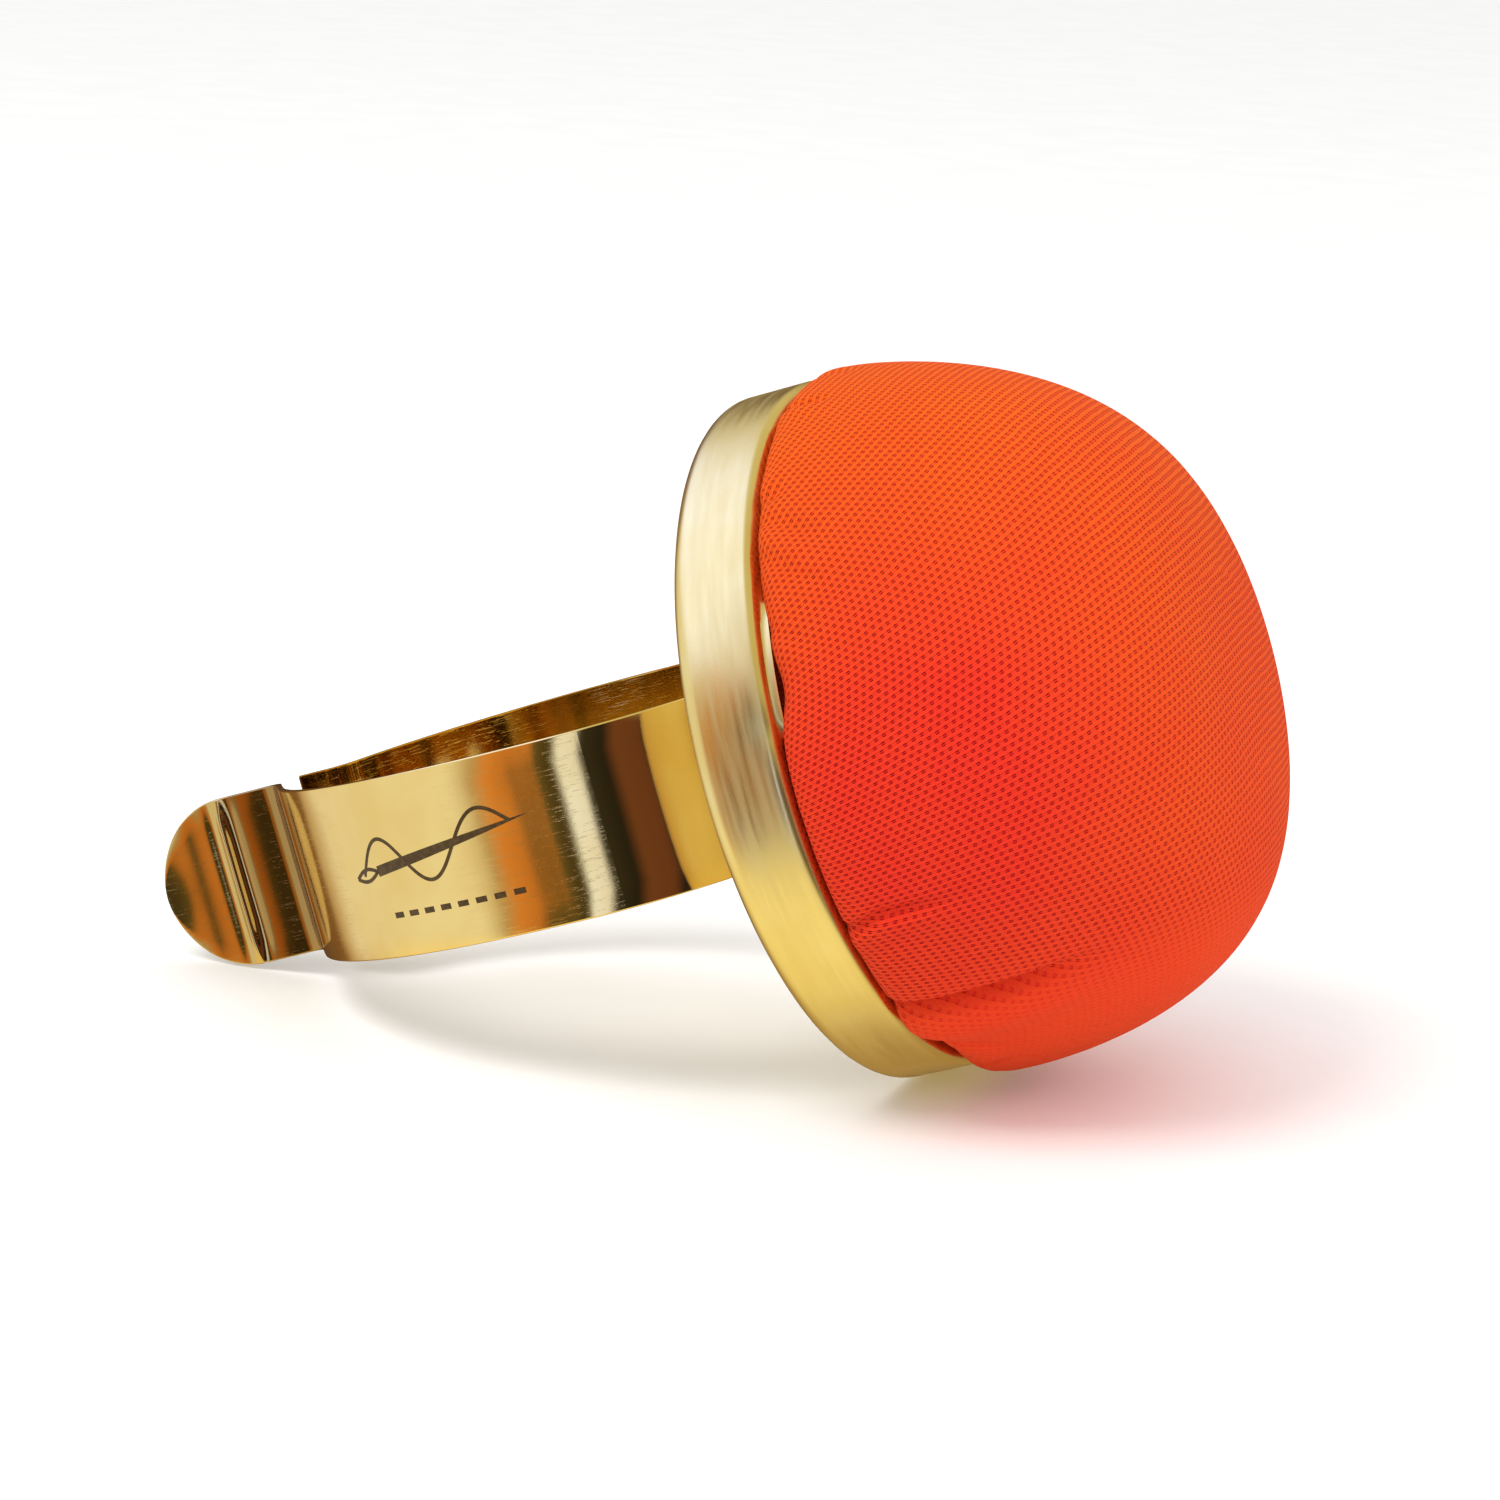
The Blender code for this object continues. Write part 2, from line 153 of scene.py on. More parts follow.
def rest_matrix():
    """The cushion frame, in millimetres, to the row frame, in metres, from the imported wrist_seat mount."""
    seat = next(m for m in frame["record"]["mounts"] if m["name"] == "wrist_seat")
    across = -Vector(seat["axis"]).normalized()
    side = Vector((0.0, 1.0, 0.0))
    along = across.cross(side)
    height = -(BAND_TO_CUP + BAND_SHEET)
    origin = Vector(seat["pos_m"]) - across * height * MM
    turn = Matrix((across, side, along)).transposed().to_4x4()
    return Matrix.Translation(origin) @ turn @ Matrix.Scale(MM, 4)


REST = rest_matrix()


def place(mesh):
    mesh.transform(REST)
    mesh.update()


def vertex_array(mesh):
    points = np.zeros(len(mesh.vertices) * 3)
    mesh.vertices.foreach_get("co", points)
    return points.reshape(-1, 3)


def set_vertices(mesh, points):
    mesh.vertices.foreach_set("co", np.asarray(points, float).ravel())
    mesh.update()


def store(mesh, name, points):
    """Keeps a vector for each vertex, for materials to read, so that patterns stay on the surface."""
    attribute = mesh.attributes.get(name) or mesh.attributes.new(name, "FLOAT_VECTOR", "POINT")
    attribute.data.foreach_set("vector", np.asarray(points, np.float32).ravel())


def stored(mesh, name):
    points = np.zeros(len(mesh.vertices) * 3, np.float32)
    mesh.attributes[name].data.foreach_get("vector", points)
    return points.reshape(-1, 3).astype(float)


def add_piece(name, mesh, mat, sharp=40):
    mesh.name = name
    mesh.materials.clear()
    mesh.materials.append(mat)
    mesh.shade_smooth()
    mesh.set_sharp_from_angle(angle=math.radians(sharp))
    obj = bpy.data.objects.new(name, mesh)
    bpy.context.scene.collection.objects.link(obj)
    return obj


def evaluated_mesh(obj):
    graph = bpy.context.evaluated_depsgraph_get()
    graph.update()
    return bpy.data.meshes.new_from_object(obj.evaluated_get(graph), depsgraph=graph)


def smooth(low, high, value):
    share = np.clip((value - low) / (high - low), 0.0, 1.0)
    return share * share * (3 - 2 * share)


# ---------------------------------------------------------------- materials


class Nodes:
    """Short calls for building one material's node tree."""

    def __init__(self, name, base, metallic, roughness):
        self.mat = bpy.data.materials.new(name)
        self.mat.use_nodes = True
        self.tree = self.mat.node_tree
        self.shader = self.tree.nodes["Principled BSDF"]
        self.put(base=base)
        self.shader.inputs["Metallic"].default_value = metallic
        self.shader.inputs["Roughness"].default_value = roughness

    def put(self, base):
        self.shader.inputs["Base Color"].default_value = (*base, 1.0)

    def fixed(self, **values):
        for name, value in values.items():
            socket = self.shader.inputs[name.replace("_", " ")]
            socket.default_value = value

    def plug(self, socket, value):
        if isinstance(value, bpy.types.NodeSocket):
            self.tree.links.new(value, socket)
        else:
            socket.default_value = value

    def coords(self, name):
        made = self.tree.nodes.new("ShaderNodeAttribute")
        made.attribute_name = name
        return made.outputs["Vector"]

    def object_coords(self):
        return self.tree.nodes.new("ShaderNodeTexCoord").outputs["Object"]

    def stretch(self, vector, scale, turn=(0.0, 0.0, 0.0)):
        made = self.tree.nodes.new("ShaderNodeMapping")
        self.plug(made.inputs["Vector"], vector)
        made.inputs["Scale"].default_value = scale
        made.inputs["Rotation"].default_value = turn
        return made.outputs["Vector"]

    def noise(self, vector, scale, detail=3.0, rough=0.5):
        made = self.tree.nodes.new("ShaderNodeTexNoise")
        self.plug(made.inputs["Vector"], vector)
        made.inputs["Scale"].default_value = scale
        made.inputs["Detail"].default_value = detail
        made.inputs["Roughness"].default_value = rough
        return made.outputs["Fac"]

    def math(self, operation, a, b=0.0):
        made = self.tree.nodes.new("ShaderNodeMath")
        made.operation = operation
        self.plug(made.inputs[0], a)
        self.plug(made.inputs[1], b)
        return made.outputs[0]

    def dot(self, vector, along):
        made = self.tree.nodes.new("ShaderNodeVectorMath")
        made.operation = "DOT_PRODUCT"
        self.plug(made.inputs[0], vector)
        made.inputs[1].default_value = along
        return made.outputs["Value"]

    def ranged(self, value, low, high, to_low=0.0, to_high=1.0):
        made = self.tree.nodes.new("ShaderNodeMapRange")
        made.interpolation_type = "SMOOTHSTEP"
        self.plug(made.inputs["Value"], value)
        made.inputs["From Min"].default_value = low
        made.inputs["From Max"].default_value = high
        made.inputs["To Min"].default_value = to_low
        made.inputs["To Max"].default_value = to_high
        return made.outputs["Result"]

    def mix(self, share, first, second):
        made = self.tree.nodes.new("ShaderNodeMix")
        made.data_type = "RGBA"
        self.plug(made.inputs["Factor"], share)
        self.plug(made.inputs["A"] if False else made.inputs[6], self.rgba(first))
        self.plug(made.inputs[7], self.rgba(second))
        return made.outputs[2]

    @staticmethod
    def rgba(value):
        return value if isinstance(value, bpy.types.NodeSocket) else (*value, 1.0)

    def colour(self, value):
        self.plug(self.shader.inputs["Base Color"], value)

    def roughness(self, value):
        self.plug(self.shader.inputs["Roughness"], value)

    def bump(self, height, depth, strength=1.0, under=None):
        """Bump of a real depth in millimetres, for a height from 0 to 1."""
        made = self.tree.nodes.new("ShaderNodeBump")
        made.inputs["Strength"].default_value = strength
        made.inputs["Distance"].default_value = depth * MM
        self.plug(made.inputs["Height"], height)
        if under is not None:
            self.tree.links.new(under, made.inputs["Normal"])
        self.tree.links.new(made.outputs["Normal"], self.shader.inputs["Normal"])
        return made.outputs["Normal"]


def gold_material():
    """Polished, gold-plated spring steel: a near mirror with a slight roll, hairlines and a fine grain."""
    n = Nodes("polished_gold_strip", (0.86, 0.64, 0.235), 1.0, 0.06)
    own = n.coords(OWN)
    tint = n.noise(own, 0.16, 2.0)
    plain = n.mix(n.ranged(tint, 0.3, 0.7), (0.88, 0.67, 0.26), (0.83, 0.60, 0.205))
    # Painted reflection: the tab is coloured browner than the band, most of all in its first bend, in place of the dark
    # surroundings it would mirror there.
    along = n.dot(own, (-1.0, 0.0, 0.0))
    bend = n.math("MULTIPLY", n.ranged(along, 39.6, 40.9), n.ranged(along, 46.2, 47.6, 1.0, 0.45))
    n.colour(n.mix(n.math("MULTIPLY", bend, 0.85), plain, (0.30, 0.165, 0.045)))
    grain = n.noise(own, 6.0, 4.0, 0.7)
    n.roughness(n.ranged(grain, 0.3, 0.75, 0.045, 0.11))
    roll = n.noise(n.stretch(own, (1.0, 1.0, 0.25)), 0.22, 1.0)
    waves = n.bump(roll, 0.05)
    lines = n.noise(n.stretch(own, (0.35, 1.0, 7.0), (0.0, 0.0, 0.0)), 1.7, 3.0, 0.6)
    hair = n.ranged(lines, 0.60, 0.66)
    waves = n.bump(hair, 0.0012, 1.0, waves)
    n.bump(grain, 0.0016, 1.0, waves)
    return n.mat


def brass_material():
    """Satin brass of the spun cup: soft highlights, faint streaks in its roughness and a fine grain."""
    n = Nodes("satin_brass_cup", (0.80, 0.68, 0.36), 1.0, 0.33)
    own = n.coords(OWN)
    tint = n.noise(own, 0.11, 3.0)
    n.colour(n.mix(n.ranged(tint, 0.35, 0.68), (0.86, 0.71, 0.32), (0.82, 0.64, 0.24)))
    streaks = n.noise(n.stretch(own, (2.2, 0.18, 0.18)), 0.8, 2.0, 0.5)
    n.roughness(n.ranged(streaks, 0.25, 0.75, 0.25, 0.38))
    fine = n.noise(own, 5.0, 4.0, 0.6)
    n.bump(fine, 0.002)
    return n.mat


def rivet_material():
    n = Nodes("rivet_brass_fine", (0.78, 0.60, 0.30), 1.0, 0.28)
    own = n.coords(OWN)
    wear = n.noise(own, 1.6, 4.0, 0.6)
    n.colour(n.mix(n.ranged(wear, 0.35, 0.7), (0.80, 0.63, 0.33), (0.66, 0.47, 0.20)))
    n.roughness(n.ranged(wear, 0.3, 0.7, 0.2, 0.36))
    n.bump(n.noise(own, 5.0, 3.0), 0.01)
    return n.mat


def mark_material():
    """The dark brown of an etched and filled mark."""
    n = Nodes("etched_brown", (0.075, 0.042, 0.012), 0.6, 0.42)
    own = n.coords(OWN)
    wear = n.noise(own, 2.5, 4.0, 0.7)
    n.colour(n.mix(n.ranged(wear, 0.35, 0.75), (0.060, 0.034, 0.010), (0.13, 0.080, 0.026)))
    n.roughness(n.ranged(wear, 0.3, 0.7, 0.34, 0.5))
    return n.mat


# The jersey: the direction of its rows, the distance between rows, and between stitches along a row.
KNIT_TURN = math.radians(6.3)
KNIT_ROW = 0.586
KNIT_STITCH = 0.677
# How the rows bow and fan as the cloth is drawn over the pad, per millimetre.
KNIT_BOW = 0.00435
KNIT_FAN = 0.0018


def knit_material():
    """Fine jersey: rows of tiny loops with a dark slit between them, with painted light over the pad: more orange
    towards the top and the crown, redder in the middle and low down.
    """
    n = Nodes("orange_jersey", (0.78, 0.08, 0.015), 0.0, 0.8)
    n.fixed(Sheen_Weight=0.05, Sheen_Roughness=0.5, Sheen_Tint=(1.0, 0.42, 0.12, 1.0))
    n.fixed(Specular_IOR_Level=0.05)
    own = n.coords(OWN)
    knit = n.coords(KNIT)
    cos, sin = math.cos(KNIT_TURN), math.sin(KNIT_TURN)
    drift = n.math("MULTIPLY", n.math("SUBTRACT", n.noise(knit, 0.45, 2.0), 0.5), 0.22)
    along = n.math("ADD", n.dot(knit, (cos, sin, 0.0)), drift)
    across = n.math("ADD", n.dot(knit, (-sin, cos, 0.0)), drift)
    stitch = n.math("COSINE", n.math("MULTIPLY", along, 2 * math.pi / KNIT_STITCH))
    pair = n.math("COSINE", n.math("MULTIPLY", across, math.pi / KNIT_ROW))
    line = n.math("COSINE", n.math("MULTIPLY", across, 2 * math.pi / KNIT_ROW))
    # The pattern fades on the slack cloth low down, below the big fold.
    fade = n.ranged(n.dot(own, (0.0, 0.0, 1.0)), -23.0, -16.0, 0.3, 1.0)
    slit = n.math("MULTIPLY", n.ranged(n.math("MULTIPLY", stitch, pair), 0.0, 0.65), n.ranged(line, -0.1, 0.9))
    slit = n.math("MULTIPLY", slit, fade)
    rib = n.math("MULTIPLY", n.ranged(line, -0.2, 1.0), fade)
    # Painted light and shade: more orange towards the top and the crown, as if lit, and redder in the middle of the
    # near side and of the far side, as if shaded.
    shifted = n.tree.nodes.new("ShaderNodeVectorMath")
    shifted.operation = "ADD"
    n.plug(shifted.inputs[0], own)
    shifted.inputs[1].default_value = (-17.0, 0.0, 4.0)
    round_it = n.stretch(shifted.outputs[0], (1 / 17.0, 0.0, 1 / 20.0))
    away = n.tree.nodes.new("ShaderNodeVectorMath")
    away.operation = "LENGTH"
    n.plug(away.inputs[0], round_it)
    # Painted shade: the painted light falls off towards the bottom of the pad; random patches of tone are added to it.
    low = n.ranged(n.dot(own, (0.0, 0.0, 1.0)), -24.0, -4.0, 0.45, 1.0)
    patch = n.math("MULTIPLY", n.math("SUBTRACT", n.noise(own, 0.08, 2.0), 0.5), 0.5)
    painted_light = n.math("MULTIPLY", n.math("ADD", n.ranged(away.outputs["Value"], 0.25, 1.6), patch), low)
    # Painted light picks the colours: the shaded colour is red and the lit colour orange, for the body and for the
    # slits.
    body = n.mix(painted_light, (0.68, 0.030, 0.014), (0.71, 0.103, 0.009))
    deep = n.mix(painted_light, (0.58, 0.005, 0.013), (0.68, 0.036, 0.008))
    # The painted light also sets how strongly the slits and ribs show.
    dots = n.math("MULTIPLY", slit, n.ranged(painted_light, 0.2, 1.1, 0.72, 0.35))
    ribs = n.math("MULTIPLY", rib, n.ranged(painted_light, 0.2, 1.0, 0.12, 0.50))
    n.colour(n.mix(n.math("MINIMUM", n.math("ADD", dots, ribs), 1.0), body, deep))
    fuzz = n.noise(own, 7.0, 4.0, 0.7)
    n.roughness(n.ranged(fuzz, 0.3, 0.7, 0.72, 0.88))
    under = n.bump(fuzz, 0.03)
    under = n.bump(n.math("SUBTRACT", 1.0, slit), 0.07, 1.0, under)
    n.bump(n.math("SUBTRACT", 1.0, rib), 0.06, 1.0, under)
    return n.mat


def fibre_material():
    n = Nodes("packed_white_fibre", (0.87, 0.86, 0.82), 0.0, 0.9)
    n.fixed(Sheen_Weight=0.4, Sheen_Roughness=0.6)
    own = n.coords(OWN)
    tuft = n.noise(n.stretch(own, (1.0, 1.0, 3.0)), 0.8, 6.0, 0.75)
    n.colour(n.mix(n.ranged(tuft, 0.3, 0.7), (0.90, 0.89, 0.85), (0.70, 0.68, 0.62)))
    n.bump(tuft, 0.5)
    return n.mat


def board_material():
    n = Nodes("pressed_grey_board", (0.52, 0.49, 0.44), 0.0, 0.85)
    place_m = n.object_coords()
    flecks = n.noise(place_m, 900.0, 5.0, 0.7)
    n.colour(n.mix(n.ranged(flecks, 0.35, 0.7), (0.56, 0.53, 0.48), (0.36, 0.33, 0.29)))
    n.roughness(n.ranged(flecks, 0.3, 0.7, 0.78, 0.92))
    n.bump(flecks, 0.05)
    return n.mat


def glue_material():
    n = Nodes("amber_set_glue", (0.80, 0.70, 0.48), 0.0, 0.3)
    n.fixed(Coat_Weight=0.3)
    place_m = n.object_coords()
    cloud = n.noise(place_m, 260.0, 3.0)
    n.colour(n.mix(n.ranged(cloud, 0.3, 0.7), (0.84, 0.74, 0.52), (0.72, 0.60, 0.37)))
    n.roughness(n.ranged(cloud, 0.3, 0.7, 0.24, 0.4))
    n.bump(cloud, 0.08)
    return n.mat


def thread_material():
    n = Nodes("twisted_red_thread", (0.62, 0.03, 0.02), 0.0, 0.7)
    n.fixed(Sheen_Weight=0.5, Sheen_Roughness=0.4)
    own = n.coords(OWN)
    ply = n.noise(own, 9.0, 3.0)
    n.colour(n.mix(n.ranged(ply, 0.3, 0.7), (0.68, 0.04, 0.02), (0.42, 0.015, 0.012)))
    n.bump(ply, 0.03)
    return n.mat


def floor_material():
    n = Nodes("pale_floor", (0.93, 0.93, 0.92), 0.0, 0.7)
    n.fixed(Specular_IOR_Level=0.1)
    faint = n.noise(n.object_coords(), 60.0, 3.0)
    n.colour(n.mix(n.ranged(faint, 0.3, 0.7), (0.94, 0.94, 0.93), (0.92, 0.92, 0.91)))
    return n.mat


# ---------------------------------------------------------------- band


def walk(start, heading, runs, distance):
    """The point and the heading at a distance along a path of straight runs and arcs."""
    x, y = start
    for length, turn in runs:
        step = min(length, distance)
        if turn:
            radius = length / turn
            bent = turn * step / length
            x += radius * (math.sin(heading + bent) - math.sin(heading))
            y -= radius * (math.cos(heading + bent) - math.cos(heading))
            heading += bent
        else:
            x += step * math.cos(heading)
            y += step * math.sin(heading)
        distance -= step
        if distance <= 0:
            break
    return x, y, heading


class Arm:
    """One half of the band, from the middle of its seat to its end; s is 0 at the arm's root."""

    def __init__(self, side, runs, round_end):
        self.side = side
        bend = (SEAT_BEND_RADIUS * math.pi / 2, math.pi / 2)
        every = [straight(SEAT_LENGTH / 2), bend, *runs]
        self.runs = [(length, turn * side) for length, turn in every]
        self.length = sum(length for length, turn in runs)
        self.round_end = round_end
        self.tip_x = self.at(self.length)[0]

    def at(self, s):
        """The mid-line's x and y, and the normal that points out of the loop, at a distance s."""
        start = (SEAT_MIDLINE, 0.0)
        x, y, heading = walk(start, self.side * math.pi / 2, self.runs, s + ROOT_LENGTH)
        return x, y, self.side * math.sin(heading), -self.side * math.cos(heading)

    def half_width(self, x):
        past = self.tip_x + TAB_ROUND - x
        if not self.round_end or past <= 0:
            return BAND_WIDTH / 2
        return math.sqrt(max(TAB_ROUND**2 - past**2, 0.0))

    def on_face(self, s, z, height):
        """A point at a height over the strip's outer face."""
        x, y, nx, ny = self.at(s)
        out = BAND_SHEET / 2 + height
        return (x + nx * out, y + ny * out, z)


NEAR = Arm(-1, NEAR_RUNS, True)
FAR = Arm(1, FAR_RUNS, False)


def stations(arm, first, last):
    """Distances along an arm, close together, and closer still round the tab's end and its tight bends."""
    marks = [first]
    while marks[-1] < last - 1e-6:
        s = marks[-1]
        tight = s > 38.5 if arm.round_end else s > 33.5
        marks.append(min(last, s + (FINE_STEP if tight else STRIP_STEP)))
    if arm.round_end and last >= arm.length - 1e-6:
        begin = next(s for s in marks if arm.at(s)[0] < arm.tip_x + 4.2)
        marks = [s for s in marks if s < begin]
        fall = (arm.at(begin)[0] - arm.tip_x) / TAB_ROUND
        opening = math.acos(1 - fall)
        steps = 26
        table = np.linspace(begin, arm.length, 400)
        heights = np.array([arm.at(s)[0] for s in table])
        for i in range(steps + 1):
            angle = opening * (1 - i / steps) + 0.02
            x = arm.tip_x + TAB_ROUND * (1 - math.cos(angle))
            marks.append(float(np.interp(-x, -heights, table)))
    kept = [marks[0]]
    for mark in marks[1:]:
        if mark - kept[-1] > 1e-4:
            kept.append(mark)
    return kept


def section(half):
    """Outline of the strip's cross-section, as (height over the mid-line, z), with rounded cut edges."""
    thick = BAND_SHEET / 2
    edge = min(BAND_EDGE_ROUND, half * 0.6)
    across = 9
    points = []
    for i in range(across):
        points.append((thick, (half - edge) * (1 - 2 * i / (across - 1))))
    for i in range(1, 4):
        a = math.pi / 2 * i / 4
        points.append((thick - edge + edge * math.cos(a), -half + edge - edge * math.sin(a)))
    points.append((thick - edge, -half))
    points.append((-thick + edge, -half))
    for i in range(1, 4):
        a = math.pi / 2 * (1 - i / 4)
        points.append((-thick + edge - edge * math.cos(a), -half + edge - edge * math.sin(a)))
    for i in range(across):
        points.append((-thick, (half - edge) * (-1 + 2 * i / (across - 1))))
    for i in range(1, 4):
        a = math.pi / 2 * (1 - i / 4)
        points.append((-thick + edge - edge * math.sin(math.pi / 2 - a), half - edge + edge * math.sin(math.pi / 2 - a)))
    points.append((-thick + edge, half))
    points.append((thick - edge, half))
    for i in range(1, 4):
        a = math.pi / 2 * i / 4
        points.append((thick - edge + edge * math.sin(a), half - edge + edge * math.cos(a)))
    return points


def loft(name, rings, owns, mat, sharp=40):
    """A closed solid through rings of points of one count, with its own coordinates kept."""
    count = len(rings[0])
    bm = bmesh.new()
    rows = [[bm.verts.new(p) for p in ring] for ring in rings]
    for a, b in zip(rows, rows[1:]):
        for i in range(count):
            j = (i + 1) % count
            bm.faces.new((a[i], a[j], b[j], b[i]))
    bm.faces.new(list(reversed(rows[0])))
    bm.faces.new(rows[-1])
    bmesh.ops.recalc_face_normals(bm, faces=bm.faces)
    mesh = bpy.data.meshes.new(name)
    bm.to_mesh(mesh)
    bm.free()
    store(mesh, OWN, [p for ring in owns for p in ring])
    return add_piece(name, mesh, mat, sharp)


def pressed(arm, s, z):
    """How far the tab's pressed bead and its flared end lift the strip off its mid-line."""
    if not arm.round_end or s < CREASE_AT - 4.0:
        return 0.0
    off = s - CREASE_AT
    lift = 0.34 * math.exp(-((off / 0.34) ** 2)) - 0.16 * math.exp(-(((off + 0.95) / 0.5) ** 2))
    lift -= 0.14 * math.exp(-(((off - 0.95) / 0.5) ** 2))
    lift *= 1.0 - smooth(6.2, 7.0, abs(z))
    past = max(0.0, s - FLARE_FROM - FLARE_ROUND * z * z)
    return lift + past * past / (2 * FLARE_RADIUS)


def strip_rings(arm, marks):
    rings, owns = [], []
    for s in marks:
        x, y, nx, ny = arm.at(s)
        outline = section(arm.half_width(x))
        ring = []
        for h, z in outline:
            out = h + pressed(arm, s, z)
            ring.append((x + nx * out, y + ny * out, z))
        rings.append(ring)
        owns.append([(arm.side * s, h, z) for h, z in outline])
    return rings, owns


def strip_piece(name, arm, first, last, mat):
    rings, owns = strip_rings(arm, stations(arm, first, last))
    obj = loft(name, rings, owns, mat)
    place(obj.data)
    return obj


def point_on(arm, s):
    """A point on an arm's mid-line, in the row frame."""
    x, y, _, _ = arm.at(s)
    return REST @ Vector((x, y, 0.0))


def make_base(mat, first):
    """The band's middle, from one arm's bend to the other's, with its two rivet holes."""
    near = [s for s in stations(NEAR, -ROOT_LENGTH, first)]
    far = [s for s in stations(FAR, -ROOT_LENGTH, first)]
    near_rings, near_owns = strip_rings(NEAR, near)
    far_rings, far_owns = strip_rings(FAR, far)
    near_rings = [list(reversed(r)) for r in reversed(near_rings)]
    near_owns = [list(reversed(r)) for r in reversed(near_owns)]
    rings = [ring[::-1] for ring in near_rings] + far_rings[1:]
    owns = [ring[::-1] for ring in near_owns] + far_owns[1:]
    obj = loft("band_middle", rings, owns, mat)
    cut_rivet_holes(obj, True)
    place(obj.data)
    return obj


def cut_rivet_holes(obj, keep_own):
    """Cuts both rivet holes out of a sheet part that is still in the cushion frame."""
    bm = bmesh.new()
    for side in (-1, 1):
        move = Matrix.Translation((0.0, side * RIVET_SPACING / 2, 0.0))
        bmesh.ops.create_cone(
            bm,
            cap_ends=True,
            segments=40,
            radius1=RIVET_RADIUS + 0.15,
            radius2=RIVET_RADIUS + 0.15,
            depth=4.0,
            matrix=move @ Matrix.Rotation(math.pi / 2, 4, "Y"),
        )
    mesh = bpy.data.meshes.new("hole_bars")
    bm.to_mesh(mesh)
    bm.free()
    cutter = bpy.data.objects.new("hole_bars", mesh)
    bpy.context.scene.collection.objects.link(cutter)
    cut = obj.modifiers.new("holes", "BOOLEAN")
    cut.operation = "DIFFERENCE"
    cut.solver = "EXACT"
    cut.object = cutter
    made = evaluated_mesh(obj)
    obj.modifiers.clear()
    obj.data = made
    bpy.data.objects.remove(cutter)


# Where the mark lies on the near arm's outer face, in millimetres along the strip and across it.
MARK_HEIGHT = 0.012
MARK_RIBBON = 0.30


def mark_paths():
    """A generic needle with a waving thread over a row of running stitches, as (widths, points)."""
    eye, point = (20.2, -0.5), (1.6, 1.9)
    eye_share = 0.16

    def on_needle(share, side=0.0):
        return (eye[0] + (point[0] - eye[0]) * share, eye[1] + (point[1] - eye[1]) * share + side)

    shares = [i / 36 for i in range(37)]
    body = [on_needle(eye_share + (1 - eye_share) * i) for i in shares]
    paths = [([0.80 * (1 - i**2.2) + 0.06 for i in shares], body)]
    for side in (-1, 1):
        rim = [on_needle(eye_share * i, side * 0.46 * math.sin(math.pi * i)) for i in shares]
        paths.append(([0.30] * len(rim), rim))
    thread = []
    for i in range(91):
        share = i / 90
        wave = 2.55 * math.sin(3 * math.pi * share) * (1 - 0.35 * share)
        s, z = on_needle(0.06 + 0.86 * share, wave)
        thread.append((s, z))
    paths.append(([0.30] * len(thread), thread))
    for i in range(8):
        s = 16.6 - 1.75 * i
        paths.append(([0.46] * 4, [(s - 0.34 * k, -3.7) for k in range(4)]))
    return paths


def mark_piece(name, first, last, mat):
    """The ribbons of the mark that lie between two distances along the near arm."""
    bm = bmesh.new()
    owns = []
    for widths, points in mark_paths():
        for i in range(len(points) - 1):
            add_ribbon(bm, owns, points, widths, i, first, last)
    mesh = bpy.data.meshes.new(name)
    bm.to_mesh(mesh)
    bm.free()
    store(mesh, OWN, owns)
    obj = add_piece(name, mesh, mat)
    place(obj.data)
    return obj


def add_ribbon(bm, owns, points, widths, i, first, last):
    """One short, flat, closed block of a ribbon between point i and the next."""
    (s0, z0), (s1, z1) = points[i], points[i + 1]
    middle = (s0 + s1) / 2
    if not first <= middle < last:
        return
    corners = []
    for (s, z), width, spot in ((points[i], widths[i], i), (points[i + 1], widths[i + 1], i + 1)):
        before = points[max(0, spot - 1)]
        after = points[min(len(points) - 1, spot + 1)]
        ds, dz = after[0] - before[0], after[1] - before[1]
        size = math.hypot(ds, dz) or 1.0
        ns, nz = -dz / size * width / 2, ds / size * width / 2
        corners.append(((s + ns, z + nz), (s - ns, z - nz)))
    (a, b), (d, c) = corners
    ring = [a, b, c, d]
    low = [bm.verts.new(NEAR.on_face(s, z, -0.06)) for s, z in ring]
    high = [bm.verts.new(NEAR.on_face(s, z, MARK_HEIGHT)) for s, z in ring]
    owns.extend([(s, 0.0, z) for s, z in ring])
    owns.extend([(s, 1.0, z) for s, z in ring])
    faces = [bm.faces.new(high), bm.faces.new(list(reversed(low)))]
    for k in range(4):
        m = (k + 1) % 4
        faces.append(bm.faces.new((low[k], low[m], high[m], high[k])))
    bmesh.ops.recalc_face_normals(bm, faces=faces)


